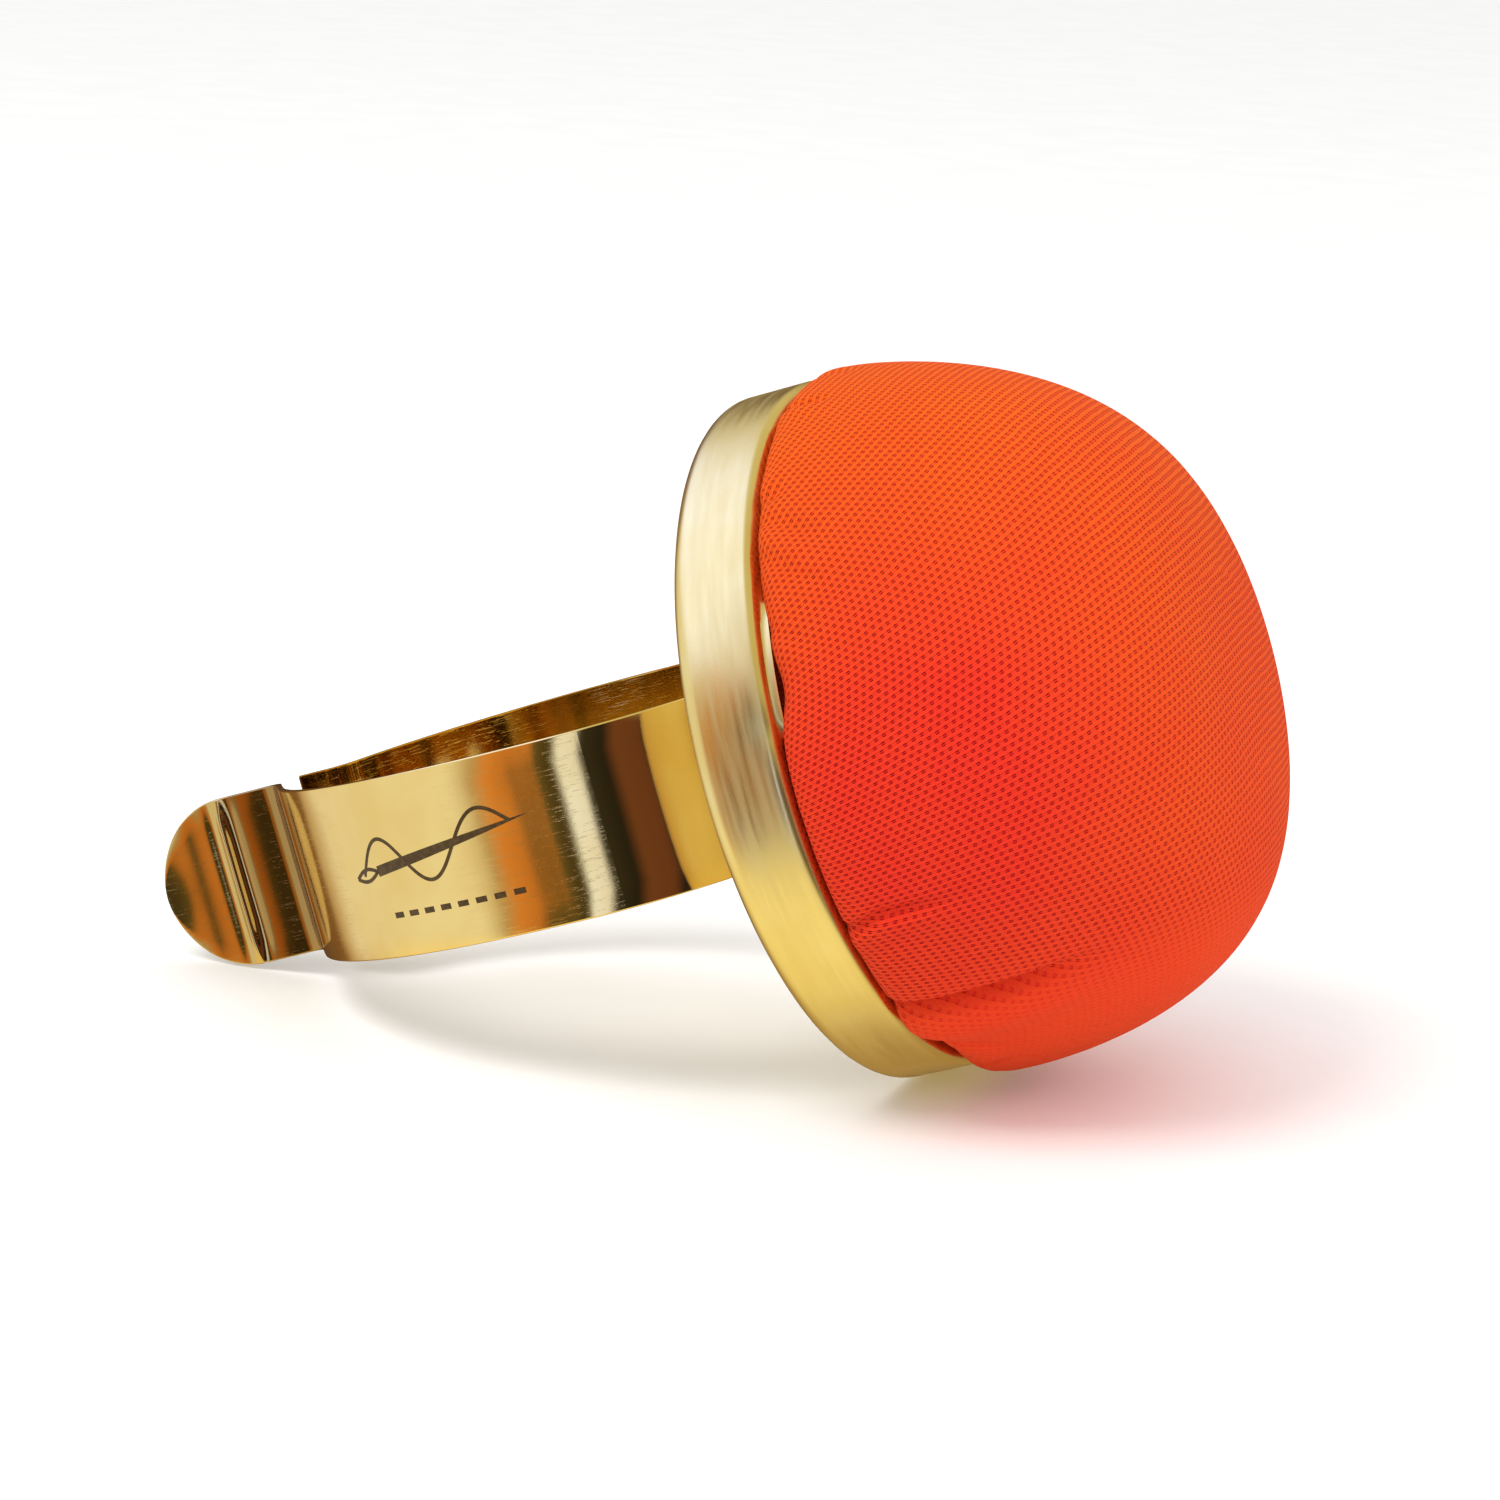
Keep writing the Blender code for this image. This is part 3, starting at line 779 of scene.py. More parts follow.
def make_band():
    gold = gold_material()
    brown = mark_material()
    root_edge = -4.0
    base = make_base(gold, root_edge)
    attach(base, "root")
    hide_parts("band_base")
    # Each arm: where its flexing lengths meet, and how far from each hinge each strip piece reaches.
    plans = (
        ("near", NEAR, (0.0, 14.0, 27.0), (root_edge, 7.0, 20.5, 33.6)),
        ("far", FAR, (0.0, 12.0, 24.0), (root_edge, 6.0, 18.0, 29.6)),
    )
    for arm_name, arm, hinges, ends in plans:
        bodies = ["root"] + [f"{arm_name}_arm_{part}" for part in ("inner", "middle", "outer")]
        for i, hinge in enumerate(hinges):
            part = strip_piece(f"{bodies[i + 1]}_strip", arm, ends[i], ends[i + 1], gold)
            near_end = max(ends[i] + 0.3, hinge - 6.0)
            far_end = min(ends[i + 1] - 0.3, hinge + 6.0)
            blend_over(part, arm, near_end, far_end)
            if i < 2:
                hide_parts(bodies[i + 1])
            if arm is NEAR and i < 2:
                mark = mark_piece(f"needle_and_thread_mark_{i + 1}", ends[i], ends[i + 1], brown)
                blend_over(mark, arm, near_end, far_end)
        tip_name = "near_tab" if arm is NEAR else "far_lead_out"
        tip = strip_piece(tip_name, arm, ends[3], arm.length, gold)
        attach(tip, bodies[3])
        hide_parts(bodies[3])


def blend_over(obj, arm, first, last):
    """Bakes a strip's transform into its mesh; the points on its mid-line at first and last are found but not used, so
    nothing is bent.
    """
    point_on(arm, first)
    point_on(arm, last)
    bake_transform(obj)


# ---------------------------------------------------------------- cup and rivets


def bend_points(centre_r, centre_x, radius, first, last, count):
    angles = [math.radians(first + (last - first) * i / count) for i in range(count + 1)]
    return [(centre_r + radius * math.cos(a), centre_x + radius * math.sin(a)) for a in angles]


def cup_profile():
    """The cup's section as (r, x): up the inside, over the rolled lip, and down the outside."""
    outer, inner = CUP_RADIUS, CUP_RADIUS - CUP_SHEET
    back = CUP_BACK_ROUND
    lip = CUP_RADIUS - CUP_LIP
    profile = [(r, CUP_SHEET) for r in (0.0, 6.0, 12.0, 18.0, 23.0)]
    profile += bend_points(outer - back, back, back - CUP_SHEET, -90, 0, 5)
    profile += [(inner, 2.6), (inner, 4.0), (inner, 5.4), (inner - 0.05, CUP_DEPTH - CUP_SHEET - 0.2)]
    profile += [(inner - 0.3, CUP_DEPTH - CUP_SHEET), (lip + 0.15, CUP_DEPTH - CUP_SHEET - 0.05)]
    profile += bend_points(lip + 0.22, CUP_DEPTH - 0.27, 0.24, -120, -260, 6)
    profile += [(lip + 0.6, CUP_DEPTH)]
    profile += bend_points(outer - CUP_RIM_ROUND, CUP_DEPTH - CUP_RIM_ROUND, CUP_RIM_ROUND, 90, 0, 7)
    profile += [(outer, 5.2), (outer, 4.2), (outer, 3.2), (outer, 2.3)]
    profile += bend_points(outer - back, back, back, 0, -90, 8)
    profile += [(r, 0.0) for r in (23.0, 18.0, 12.0, 6.0, 0.0)]
    return profile


CRIMP_AT = 160.0
CRIMP_SPREAD = 13.0
CRIMP_RISE = 0.75
CRIMP_OUT = 0.75


def cup_wobble(r, x, degrees):
    """The rim's shift outward and forward: uneven crimping, and one stretch where the lip wasn't folded flat."""
    share = float(smooth(3.6, CUP_DEPTH, x))
    lip = float(smooth(26.3, 25.4, r)) if r > 20 else 0.0
    a = math.radians(degrees)
    uneven = 0.5 * math.sin(3 * a + 0.4) + 0.35 * math.sin(7 * a + 2.0) + 0.3 * math.sin(13 * a + 1.0)
    shift = -0.05 * share * uneven
    shift -= 0.16 * share * lip * uneven
    off = (degrees - CRIMP_AT + 180) % 360 - 180
    step = math.exp(-((off / CRIMP_SPREAD) ** (14 if off > 0 else 4)))
    edge = math.exp(-(((off - CRIMP_SPREAD) / 4.0) ** 2))
    shift -= share * (0.18 * step + 0.16 * edge)
    lifted = share * lip * step
    return shift + CRIMP_OUT * lifted, CRIMP_RISE * lifted


def turn_profile(name, profile, segments, mat, shift=None, sharp=40, place_at=(0.0, 0.0, 0.0)):
    """A closed turned solid round the +X axis; profile ends may lie on the axis."""
    bm = bmesh.new()
    rows = []
    for r, x in profile:
        if r < 1e-6:
            rows.append([bm.verts.new((x, 0.0, 0.0))])
            continue
        row = []
        for i in range(segments):
            degrees = 360.0 * i / segments
            out, forward = shift(r, x, degrees) if shift else (0.0, 0.0)
            a = math.radians(degrees)
            spot = (x + forward, (r + out) * math.cos(a), (r + out) * math.sin(a))
            row.append(bm.verts.new(spot))
        rows.append(row)
    for a, b in zip(rows, rows[1:]):
        for i in range(segments):
            j = (i + 1) % segments
            if len(a) == 1:
                bm.faces.new((a[0], b[j], b[i]))
            elif len(b) == 1:
                bm.faces.new((a[i], a[j], b[0]))
            else:
                bm.faces.new((a[i], a[j], b[j], b[i]))
    bmesh.ops.recalc_face_normals(bm, faces=bm.faces)
    bm.transform(Matrix.Translation(place_at))
    mesh = bpy.data.meshes.new(name)
    bm.to_mesh(mesh)
    bm.free()
    return add_piece(name, mesh, mat, sharp)


def make_cup():
    cup = turn_profile("crimped_cup", cup_profile(), CUP_SEGMENTS, brass_material(), cup_wobble, 50)
    cut_rivet_holes(cup, False)
    mesh = cup.data
    store(mesh, OWN, vertex_array(mesh))
    place(mesh)
    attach(cup, "root")
    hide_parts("cup")


def make_rivets():
    head_face = -BAND_TO_CUP - BAND_SHEET - SHEET_CLEARANCE
    clinch_face = CUP_SHEET + SHEET_CLEARANCE
    top = clinch_face + RIVET_CLINCH_HEIGHT
    profile = [(0.0, top - 0.25), (0.7, top - 0.2), (1.1, top)]
    profile += [(RIVET_CLINCH_RADIUS - 0.2, top - 0.08), (RIVET_CLINCH_RADIUS, top - 0.3)]
    profile += [(RIVET_CLINCH_RADIUS, clinch_face), (RIVET_RADIUS, clinch_face)]
    profile += [(RIVET_RADIUS, head_face), (RIVET_HEAD_RADIUS - 0.05, head_face)]
    for i in range(11):
        a = math.pi / 2 * i / 10
        r = RIVET_HEAD_RADIUS * math.cos(a) if i < 10 else 0.0
        profile.append((r, head_face - 0.1 - (RIVET_HEAD_HEIGHT - 0.1) * math.sin(a)))
    mat = rivet_material()
    for node, side in (("rivet_near", -1), ("rivet_far", 1)):
        at = (0.0, side * RIVET_SPACING / 2, 0.0)
        rivet = turn_profile(f"{node}_domed", profile, 48, mat, None, 40, at)
        store(rivet.data, OWN, vertex_array(rivet.data))
        place(rivet.data)
        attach(rivet, "root")
        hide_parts(node)


# ---------------------------------------------------------------- pad


def dome_radius(rise):
    """The pad's radius at a height over the rim, with the nip where the rim grips it."""
    share = np.clip(rise / PAD_HEIGHT, 0.0, 1.0)
    side = (1 - share**PAD_TOP_POWER) ** (1 / PAD_SIDE_POWER)
    return PAD_RADIUS * side - PAD_NIP * np.exp(-np.maximum(rise, 0.0) / PAD_NIP_FADE)


def dome_centre(rise):
    """How far the pad's middle has moved in y and z at a height over the rim."""
    share = np.clip(rise / PAD_HEIGHT, 0.0, 1.0)
    root = np.clip(rise / PAD_NIP_FADE, 0.0, 1.0)
    return PAD_LEAN_TOP * share, -(PAD_SAG_ROOT * root + PAD_SAG_TOP * share)


def pad_profile():
    rises = [0.3, 0.7, 1.2, 1.8, 2.6, 3.6]
    rises += [4.8 + 1.25 * i for i in range(15)]
    rises += [23.2, 24.2, 25.0, 25.6, 26.0, 26.25]
    profile = [(0.0, PAD_FOOT), (12.0, PAD_FOOT), (22.0, PAD_FOOT)]
    profile += bend_points(PAD_WALL_RADIUS - 1.2, PAD_FOOT + 1.2, 1.2, -90, 0, 4)
    profile += [(PAD_WALL_RADIUS, 5.2), (PAD_GRIP_RADIUS, 6.0), (PAD_GRIP_RADIUS, CUP_DEPTH + 0.15)]
    profile += [(float(dome_radius(h)), CUP_DEPTH + h) for h in rises]
    profile += [(0.0, CUP_DEPTH + PAD_HEIGHT)]
    return profile


def lean_over(points):
    """Shifts each level of the turned pad sideways, as it sags and leans."""
    cy, cz = dome_centre(np.maximum(points[:, 0] - CUP_DEPTH, 0.0))
    moved = points.copy()
    moved[:, 1] += cy
    moved[:, 2] += cz
    return moved


def even_out(mesh, values, rounds):
    """Averages a value at each point with its neighbours' values, so that no short ripples are left."""
    ends = np.zeros(len(mesh.edges) * 2, np.int32)
    mesh.edges.foreach_get("vertices", ends)
    first, second = ends.reshape(-1, 2).T
    count = np.bincount(ends, minlength=len(values)).reshape(-1, 1)
    for _ in range(rounds):
        total = np.zeros_like(values)
        np.add.at(total, first, values[second])
        np.add.at(total, second, values[first])
        values = (values + total / np.maximum(count, 1)) / 2
    return values


def swell(obj):
    """Blows the cover out a little under cloth pressure, held where the rim grips it, at ten times life size."""
    start = vertex_array(obj.data)
    held = obj.vertex_groups.new(name="held")
    for i, x in enumerate(start[:, 0] / SIM_SCALE):
        rise = x - CUP_DEPTH
        held.add([i], float(1.0 - smooth(0.2, 3.0, rise)), "REPLACE")
    cloth = obj.modifiers.new("cover", "CLOTH")
    cloth.settings.quality = 5
    cloth.settings.mass = 0.3
    cloth.settings.tension_stiffness = 15
    cloth.settings.compression_stiffness = 15
    cloth.settings.shear_stiffness = 5
    cloth.settings.bending_stiffness = 0.5
    cloth.settings.use_pressure = True
    cloth.settings.uniform_pressure_force = 4.0
    cloth.settings.vertex_group_mass = "held"
    cloth.settings.effector_weights.gravity = 0.0
    cloth.collision_settings.use_collision = False
    cloth.point_cache.frame_start = 1
    cloth.point_cache.frame_end = 20
    scene = bpy.context.scene
    scene.frame_start = 1
    scene.frame_end = 20
    for step in range(1, 21):
        scene.frame_set(step)
    made = evaluated_mesh(obj)
    end = vertex_array(made)
    obj.modifiers.clear()
    scene.frame_set(1)
    bpy.data.meshes.remove(made)
    moved = end - start
    size = np.linalg.norm(moved, axis=1, keepdims=True)
    # print("swell mm: mean %.3f max %.3f" % (size.mean() / SIM_SCALE, size.max() / SIM_SCALE))
    cap = SWELL_CAP * SIM_SCALE
    moved *= np.minimum(1.0, cap / np.maximum(size, 1e-9))
    moved = even_out(obj.data, moved, SWELL_ROUNDS)
    set_vertices(obj.data, start + moved)


# Folds: (angle in degrees, rise) along the valley, depth and half width, lip height, lip offset and
# spread (all millimetres; a positive offset lies towards larger angles).
FOLDS = (
    (((-137.5, 0.2), (-137.0, 6.0), (-136.0, 14.5), (-134.0, 17.5)), 1.75, 0.62, 0.95, 2.5, 1.9),
    (((-154.5, 0.0), (-157.6, 3.6), (-157.5, 8.6), (-157.0, 10.5)), 0.75, 0.42, 0.28, 1.1, 1.0),
    (((143.0, 0.6), (148.0, 4.0), (152.0, 7.5)), 0.34, 0.75, 0.22, -1.6, 1.3),
    (((136.5, 0.4), (140.5, 4.8), (143.0, 7.5)), 0.26, 0.70, 0.16, -1.5, 1.2),
    (((154.5, 0.3), (158.3, 3.6), (161.0, 6.0)), 0.26, 0.65, 0.14, 1.4, 1.1),
    (((-128.0, 0.2), (-125.0, 3.0), (-121.0, 6.5)), 0.45, 0.60, 0.20, 1.6, 1.2),
    (((-112.0, 0.2), (-113.0, 3.0), (-116.0, 6.0)), 0.40, 0.70, 0.20, -1.6, 1.2),
)
# Places where the cover stands away from the rim: middle angle, spread in degrees, depth, height.
GAPS = (
    (-120.5, 9.0, 2.0, 1.9),
    (160.0, 13.0, 1.7, 1.15),
    (165.0, 4.5, 1.3, 1.9),
    (48.0, 9.0, 0.5, 1.1),
    (-38.0, 8.0, 0.6, 1.2),
)
TUCK = 0.12
TUCK_HEIGHT = 0.9


def small_puckers():
    """Slight gathers round the rest of the rim, from a fixed seed."""
    rng = random.Random(11)
    made = []
    angle = -105.0
    while angle < 128.0:
        angle += rng.uniform(9.0, 24.0)
        reach = rng.uniform(3.0, 8.5)
        drift = rng.uniform(-3.0, 3.0)
        line = ((angle, 0.2), (angle + drift * 0.5, reach * 0.5), (angle + drift, reach))
        depth = rng.uniform(0.15, 0.50)
        made.append((line, depth, rng.uniform(0.45, 0.9), depth * 0.4, rng.choice((-1.5, 1.5)), 1.1))
    return made


def wrapped(degrees):
    return (degrees + 180.0) % 360.0 - 180.0


def fold_shift(angle, rise, fold):
    """Outward shift at each point for one fold."""
    line, depth, width, lip, lip_at, lip_width = fold
    rises = [h for _, h in line]
    middle = np.interp(rise, rises, [a for a, _ in line])
    off = wrapped(angle - middle) * math.pi / 180.0 * np.maximum(dome_radius(rise), 4.0)
    fade = smooth(-0.6, 0.6, rise - rises[0]) * (1.0 - smooth(rises[-1] * 0.45, rises[-1], rise))
    valley = -depth * np.exp(-((off / width) ** 2))
    ridge = lip * np.exp(-(((off - lip_at) / lip_width) ** 2))
    return (valley + ridge) * fade


def press_folds(points):
    """Shifts the swollen cover's points in and out of its surface for folds, gathers and gaps at the rim."""
    rise = points[:, 0] - CUP_DEPTH
    cy, cz = dome_centre(np.maximum(rise, 0.0))
    dy, dz = points[:, 1] - cy, points[:, 2] - cz
    angle = np.degrees(np.arctan2(dz, dy))
    shift = np.zeros(len(points))
    for fold in (*FOLDS, *small_puckers()):
        shift += fold_shift(angle, rise, fold)
    for middle, spread, depth, height in GAPS:
        over = np.exp(-((wrapped(angle - middle) / spread) ** 2))
        shift -= depth * over * np.exp(-((np.maximum(rise, 0.0) / height) ** 2))
    shift -= TUCK * np.exp(-((np.maximum(rise, 0.0) / TUCK_HEIGHT) ** 2))
    shift *= smooth(-0.9, 0.1, rise)
    size = np.maximum(np.hypot(dy, dz), 1e-6)
    moved = points.copy()
    moved[:, 1] += shift * dy / size
    moved[:, 2] += shift * dz / size
    return moved


def knit_coordinates(points):
    """Where each point lies on the flat cloth: its distance over the dome from the top, and its angle."""
    rises = np.linspace(-4.0, PAD_HEIGHT, 400)
    radii = dome_radius(rises)
    steps = np.hypot(np.diff(rises), np.diff(radii))
    down = np.concatenate([[0.0], np.cumsum(steps[::-1])])[::-1]
    rise = points[:, 0] - CUP_DEPTH
    cy, cz = dome_centre(np.maximum(rise, 0.0))
    dy, dz = points[:, 1] - cy, points[:, 2] - cz
    size = np.hypot(dy, dz)
    angle = np.arctan2(dz, dy)
    length = np.interp(rise, rises, down)
    flat = smooth(21.0, 25.5, rise)
    length = length * (1 - flat) + np.minimum(length, size * 1.04) * flat
    u, v = length * np.cos(angle), length * np.sin(angle)
    bowed = v + KNIT_BOW * u * u + KNIT_FAN * u * v
    return np.stack([u, bowed, np.zeros(len(points))], 1)


def remesh(obj, voxel):
    step = obj.modifiers.new("even", "REMESH")
    step.mode = "VOXEL"
    step.voxel_size = voxel
    made = evaluated_mesh(obj)
    obj.modifiers.clear()
    obj.data = made


def subdivide(obj):
    step = obj.modifiers.new("fine", "SUBSURF")
    step.levels = 1
    step.render_levels = 1
    made = evaluated_mesh(obj)
    obj.modifiers.clear()
    obj.data = made


def relax(mesh, rounds):
    """Evens the voxel steps out of a mesh."""
    bm = bmesh.new()
    bm.from_mesh(mesh)
    for _ in range(rounds):
        bmesh.ops.smooth_vert(bm, verts=bm.verts, factor=0.5, use_axis_x=True, use_axis_y=True, use_axis_z=True)
    bm.to_mesh(mesh)
    bm.free()
    mesh.update()


def make_cover():
    cloth = knit_material()
    cover = turn_profile("knit_cover", pad_profile(), 96, cloth)
    set_vertices(cover.data, lean_over(vertex_array(cover.data)) * SIM_SCALE)
    remesh(cover, COVER_VOXEL * SIM_SCALE)
    relax(cover.data, 2)
    before = vertex_array(cover.data)
    swell(cover)
    swelled = vertex_array(cover.data) - before
    set_vertices(cover.data, before)
    store(cover.data, SWELLED, swelled)
    subdivide(cover)
    before = vertex_array(cover.data)
    swelled = stored(cover.data, SWELLED)
    points = press_folds((before + swelled) / SIM_SCALE)
    set_vertices(cover.data, points)
    relax(cover.data, 1)
    store(cover.data, OWN, vertex_array(cover.data))
    store(cover.data, KNIT, knit_coordinates(before / SIM_SCALE))
    cover.data.materials.clear()
    cover.data.materials.append(cloth)
    cover.data.shade_smooth()
    filling = make_filling(vertex_array(cover.data))
    place(cover.data)
    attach(cover, "root")
    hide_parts("cushion_cover")
    return cover, filling


def make_filling(cover_points):
    """The packed fibre: a lumpy ball inside the cover, standing back from it and on the backing disc."""
    low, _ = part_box("cushion_filling")
    profile = [(r, x) for r, x in pad_profile() if x > CUP_DEPTH - 1.0 or r < 1.0]
    foot = 5.3
    profile = [(0.0, foot), (12.0, foot), (23.0, foot)] + [(r, x) for r, x in profile if x > foot + 0.5]
    filling = turn_profile("fibre_filling", profile, 64, fibre_material())
    points = lean_over(vertex_array(filling.data))
    middle = np.array([CUP_DEPTH + 8.0, 0.0, 0.0])
    points = middle + (points - middle) * 0.90
    for i, p in enumerate(points):
        lump = noise.noise(Vector(p) * 0.35)
        away = (p - middle) / max(np.linalg.norm(p - middle), 1e-6)
        points[i] = p + away * 0.35 * lump
    set_vertices(filling.data, points)
    subdivide(filling)
    store(filling.data, OWN, vertex_array(filling.data))
    filling.data.shade_smooth()
    place(filling.data)
    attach(filling, "root")
    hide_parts("cushion_filling")
    return filling


def make_inside():
    """What is sealed in the cup: the glue and the board keep their CAD shapes, the thread is remade, twisted."""
    for node, mat in (("glue_pad", glue_material()), ("backing_disc", board_material())):
        obj = frame["nodes"][node]
        obj.data.materials.clear()
        obj.data.materials.append(mat)
    low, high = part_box("gathering_thread")
    inverse = REST.inverted()
    corners = [inverse @ Vector((x, y, z)) for x in (low.x, high.x) for y in (low.y, high.y) for z in (low.z, high.z)]
    ring = (max(c.y for c in corners) - min(c.y for c in corners)) / 2 - 0.3
    height = sum(c.x for c in corners) / 8
    bm = bmesh.new()
    owns = []
    steps, sides = 360, 6
    for ply in (0.0, math.pi):
        rows = []
        for i in range(steps):
            a = 2 * math.pi * i / steps
            twist = ply + 40 * a
            r = ring + 0.13 * math.cos(twist)
            x = height + 0.13 * math.sin(twist)
            row = []
            for k in range(sides):
                b = 2 * math.pi * k / sides
                rr = r + 0.15 * math.cos(b)
                row.append(bm.verts.new((x + 0.15 * math.sin(b), rr * math.cos(a), rr * math.sin(a))))
                owns.append((ring * a, 0.15 * math.cos(b), 0.15 * math.sin(b)))
            rows.append(row)
        for i in range(steps):
            for k in range(sides):
                m = (k + 1) % sides
                j = (i + 1) % steps
                bm.faces.new((rows[i][k], rows[j][k], rows[j][m], rows[i][m]))
    bmesh.ops.recalc_face_normals(bm, faces=bm.faces)
    mesh = bpy.data.meshes.new("gathering_thread_twisted")
    bm.to_mesh(mesh)
    bm.free()
    store(mesh, OWN, owns)
    thread = add_piece("gathering_thread_twisted", mesh, thread_material(), 80)
    place(thread.data)
    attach(thread, "root")
    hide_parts("gathering_thread")


# ---------------------------------------------------------------- studio


CAMERA_AT = (144.6, -358.0, 33.0)
CAMERA_RIGHT = (0.8952, 0.3534, -0.2715)
CAMERA_FORWARD = (-0.3876, 0.9181, -0.0832)
LENS = 120.0


def make_camera():
    data = bpy.data.cameras.new("camera")
    data.lens = LENS
    data.sensor_width = 36.0
    data.clip_start = 0.01
    data.clip_end = 20.0
    camera = bpy.data.objects.new("camera", data)
    bpy.context.scene.collection.objects.link(camera)
    turn = REST.to_3x3() * (1 / MM)
    back = -(turn @ Vector(CAMERA_FORWARD)).normalized()
    right = (turn @ Vector(CAMERA_RIGHT)).normalized()
    up = back.cross(right).normalized()
    right = up.cross(back).normalized()
    camera.matrix_world = Matrix.Translation(REST @ Vector(CAMERA_AT)) @ Matrix((right, up, back)).transposed().to_4x4()
    bpy.context.scene.camera = camera


def add_light(name, at, target, size, power, colour, glossy=False):
    data = bpy.data.lights.new(name, "AREA")
    data.shape = "DISK"
    data.size = size
    data.energy = power
    data.color = colour
    light = bpy.data.objects.new(name, data)
    bpy.context.scene.collection.objects.link(light)
    light.location = at
    light.rotation_mode = "QUATERNION"
    light.rotation_quaternion = (Vector(target) - Vector(at)).to_track_quat("-Z", "Y")
    light.visible_glossy = glossy
    light.visible_camera = False
    return light


# What the polished metal sees round the horizon: (bearing in degrees, colour). Bearings run from -180 to
# 180 with 0 at +X and -90 towards the camera's side.
STUDIO_ROUND = (
    (-180, (0.92, 0.92, 0.92)),
    (-134, (0.94, 0.94, 0.94)),
    (-126, (0.55, 0.44, 0.30)),
    (-121, (0.78, 0.31, 0.08)),
    (-115, (0.62, 0.25, 0.07)),
    (-111, (0.14, 0.11, 0.05)),
    (-104, (0.075, 0.055, 0.025)),
    (-101, (0.12, 0.10, 0.05)),
    (-97, (0.98, 1.12, 1.80)),
    (-88, (0.92, 1.02, 1.60)),
    (-84, (0.04, 0.035, 0.025)),
    (-71, (0.02, 0.018, 0.015)),
    (-64, (0.17, 0.065, 0.035)),
    (-50, (0.15, 0.055, 0.03)),
    (-44, (0.02, 0.015, 0.015)),
    (-34, (0.05, 0.03, 0.02)),
    (-29, (0.85, 0.80, 0.70)),
    (-23, (0.04, 0.03, 0.02)),
    (10, (0.10, 0.06, 0.03)),
    (40, (0.55, 0.42, 0.25)),
    (80, (0.30, 0.20, 0.10)),
    (118, (0.10, 0.05, 0.02)),
    (150, (0.24, 0.12, 0.04)),
    (156, (0.60, 0.46, 0.28)),
    (164, (0.90, 0.88, 0.84)),
)


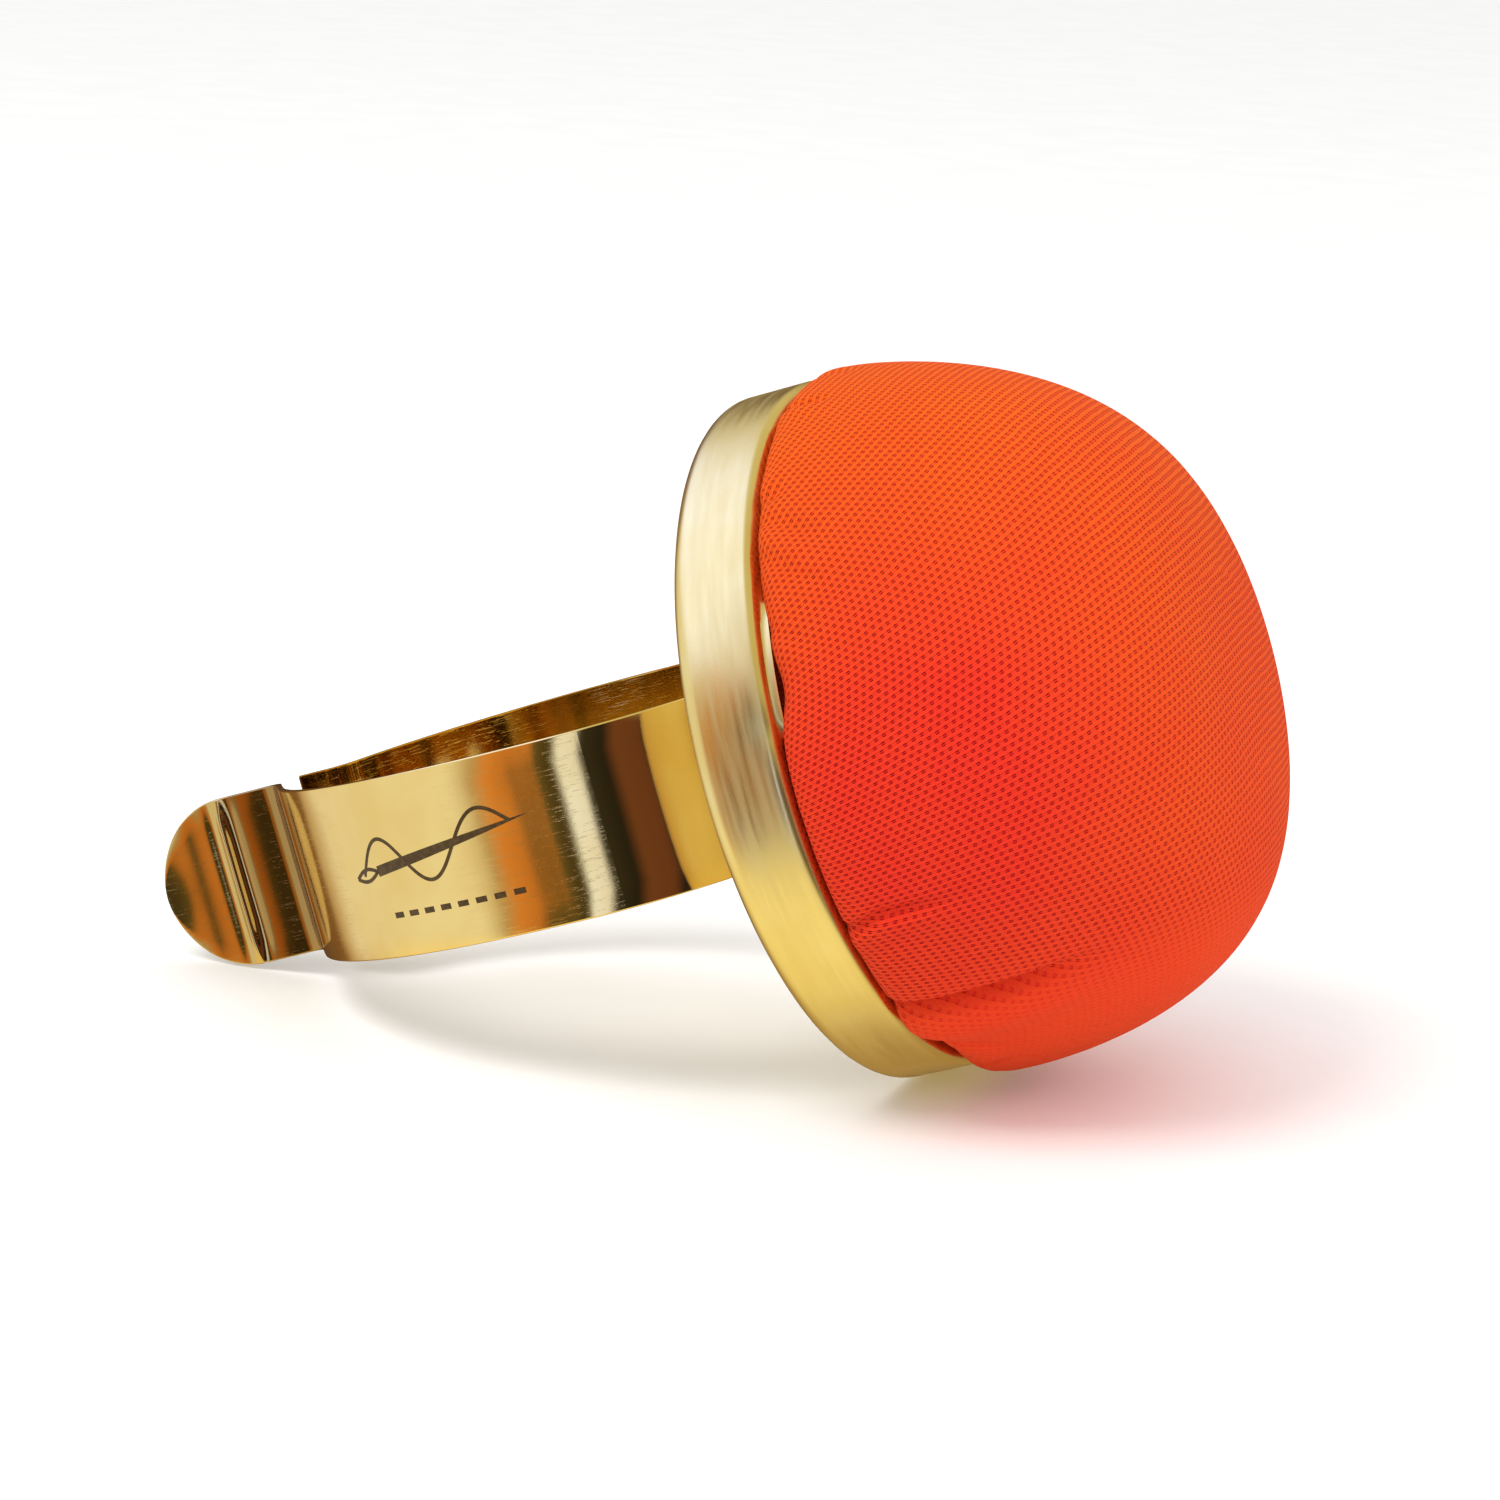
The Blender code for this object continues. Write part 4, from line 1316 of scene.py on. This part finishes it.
def make_world():
    """White for the eye and for matt surfaces; a studio with cards and a dark side for reflections."""
    world = bpy.data.worlds.new("studio")
    bpy.context.scene.world = world
    world.use_nodes = True
    tree = world.node_tree
    tree.nodes.clear()
    link = tree.links.new

    def new(kind):
        return tree.nodes.new(kind)

    def calc(operation, a, b=0.0):
        made = new("ShaderNodeMath")
        made.operation = operation
        for socket, value in zip(made.inputs, (a, b)):
            if isinstance(value, bpy.types.NodeSocket):
                link(value, socket)
            else:
                socket.default_value = value
        return made.outputs[0]

    split = new("ShaderNodeSeparateXYZ")
    link(new("ShaderNodeTexCoord").outputs["Generated"], split.inputs[0])
    bearing = calc("ARCTAN2", split.outputs["Y"], split.outputs["X"])
    share = calc("ADD", calc("MULTIPLY", bearing, 0.5 / math.pi), 0.5)
    ramp = new("ShaderNodeValToRGB")
    link(share, ramp.inputs["Fac"])
    stops = ramp.color_ramp.elements
    for i, (degrees, colour) in enumerate(STUDIO_ROUND):
        at = (degrees + 180.0) / 360.0
        stop = stops[i] if i < 2 else stops.new(at)
        stop.position = at
        stop.color = (*colour, 1.0)

    def blend_in(low, high, first, second, by=split.outputs["Z"]):
        ranged = new("ShaderNodeMapRange")
        ranged.interpolation_type = "SMOOTHSTEP"
        link(by, ranged.inputs["Value"])
        ranged.inputs["From Min"].default_value = low
        ranged.inputs["From Max"].default_value = high
        mix = new("ShaderNodeMix")
        mix.data_type = "RGBA"
        link(ranged.outputs["Result"], mix.inputs["Factor"])
        for socket, value in ((mix.inputs[6], first), (mix.inputs[7], second)):
            if isinstance(value, bpy.types.NodeSocket):
                link(value, socket)
            else:
                socket.default_value = (*value, 1.0)
        return mix.outputs[2]

    # Underneath, golden on the camera's side and brown beyond; overhead, a cool white window to the left.
    under = blend_in(-0.25, 0.45, (1.12, 1.00, 0.60), (0.46, 0.30, 0.12), split.outputs["Y"])
    lower = blend_in(-0.62, -0.41, under, ramp.outputs["Color"])
    leftward = calc("ADD", calc("MULTIPLY", split.outputs["X"], -0.966), calc("MULTIPLY", split.outputs["Y"], -0.259))
    window = blend_in(0.30, 0.66, (0.70, 0.64, 0.38), (1.25, 1.42, 2.50), leftward)
    whole = blend_in(0.28, 0.52, lower, window)
    seen = new("ShaderNodeBackground")
    seen.inputs["Color"].default_value = (1.0, 1.0, 1.0, 1.0)
    seen.inputs["Strength"].default_value = 1.0
    mirrored = new("ShaderNodeBackground")
    link(whole, mirrored.inputs["Color"])
    choose = new("ShaderNodeMixShader")
    link(new("ShaderNodeLightPath").outputs["Is Glossy Ray"], choose.inputs["Fac"])
    link(seen.outputs[0], choose.inputs[1])
    link(mirrored.outputs[0], choose.inputs[2])
    link(choose.outputs[0], new("ShaderNodeOutputWorld").inputs["Surface"])


def make_studio():
    view = bpy.context.scene.view_settings
    view.view_transform = "Standard"
    view.look = "None"
    mesh = bpy.data.meshes.new("floor")
    reach = 6.0
    corners = [(-reach, -reach, 0.0), (reach, -reach, 0.0), (reach, reach, 0.0), (-reach, reach, 0.0)]
    mesh.from_pydata(corners, [], [(0, 1, 2, 3)])
    mesh.materials.append(floor_material())
    floor = bpy.data.objects.new("floor", mesh)
    bpy.context.scene.collection.objects.link(floor)
    floor.location = (0.0, 0.0, -0.0002)
    floor.visible_glossy = False
    make_world()
    middle = (0.0, 0.0, 0.025)
    add_light("key", (-0.25, -0.45, 0.75), middle, 0.5, 3.6, (1.0, 0.98, 0.94))
    add_light("fill", (0.75, -0.15, 0.35), middle, 0.6, 1.6, (1.0, 0.98, 0.95))
    make_camera()


make_band()
make_cup()
make_rivets()
make_cover()
make_inside()
make_studio()
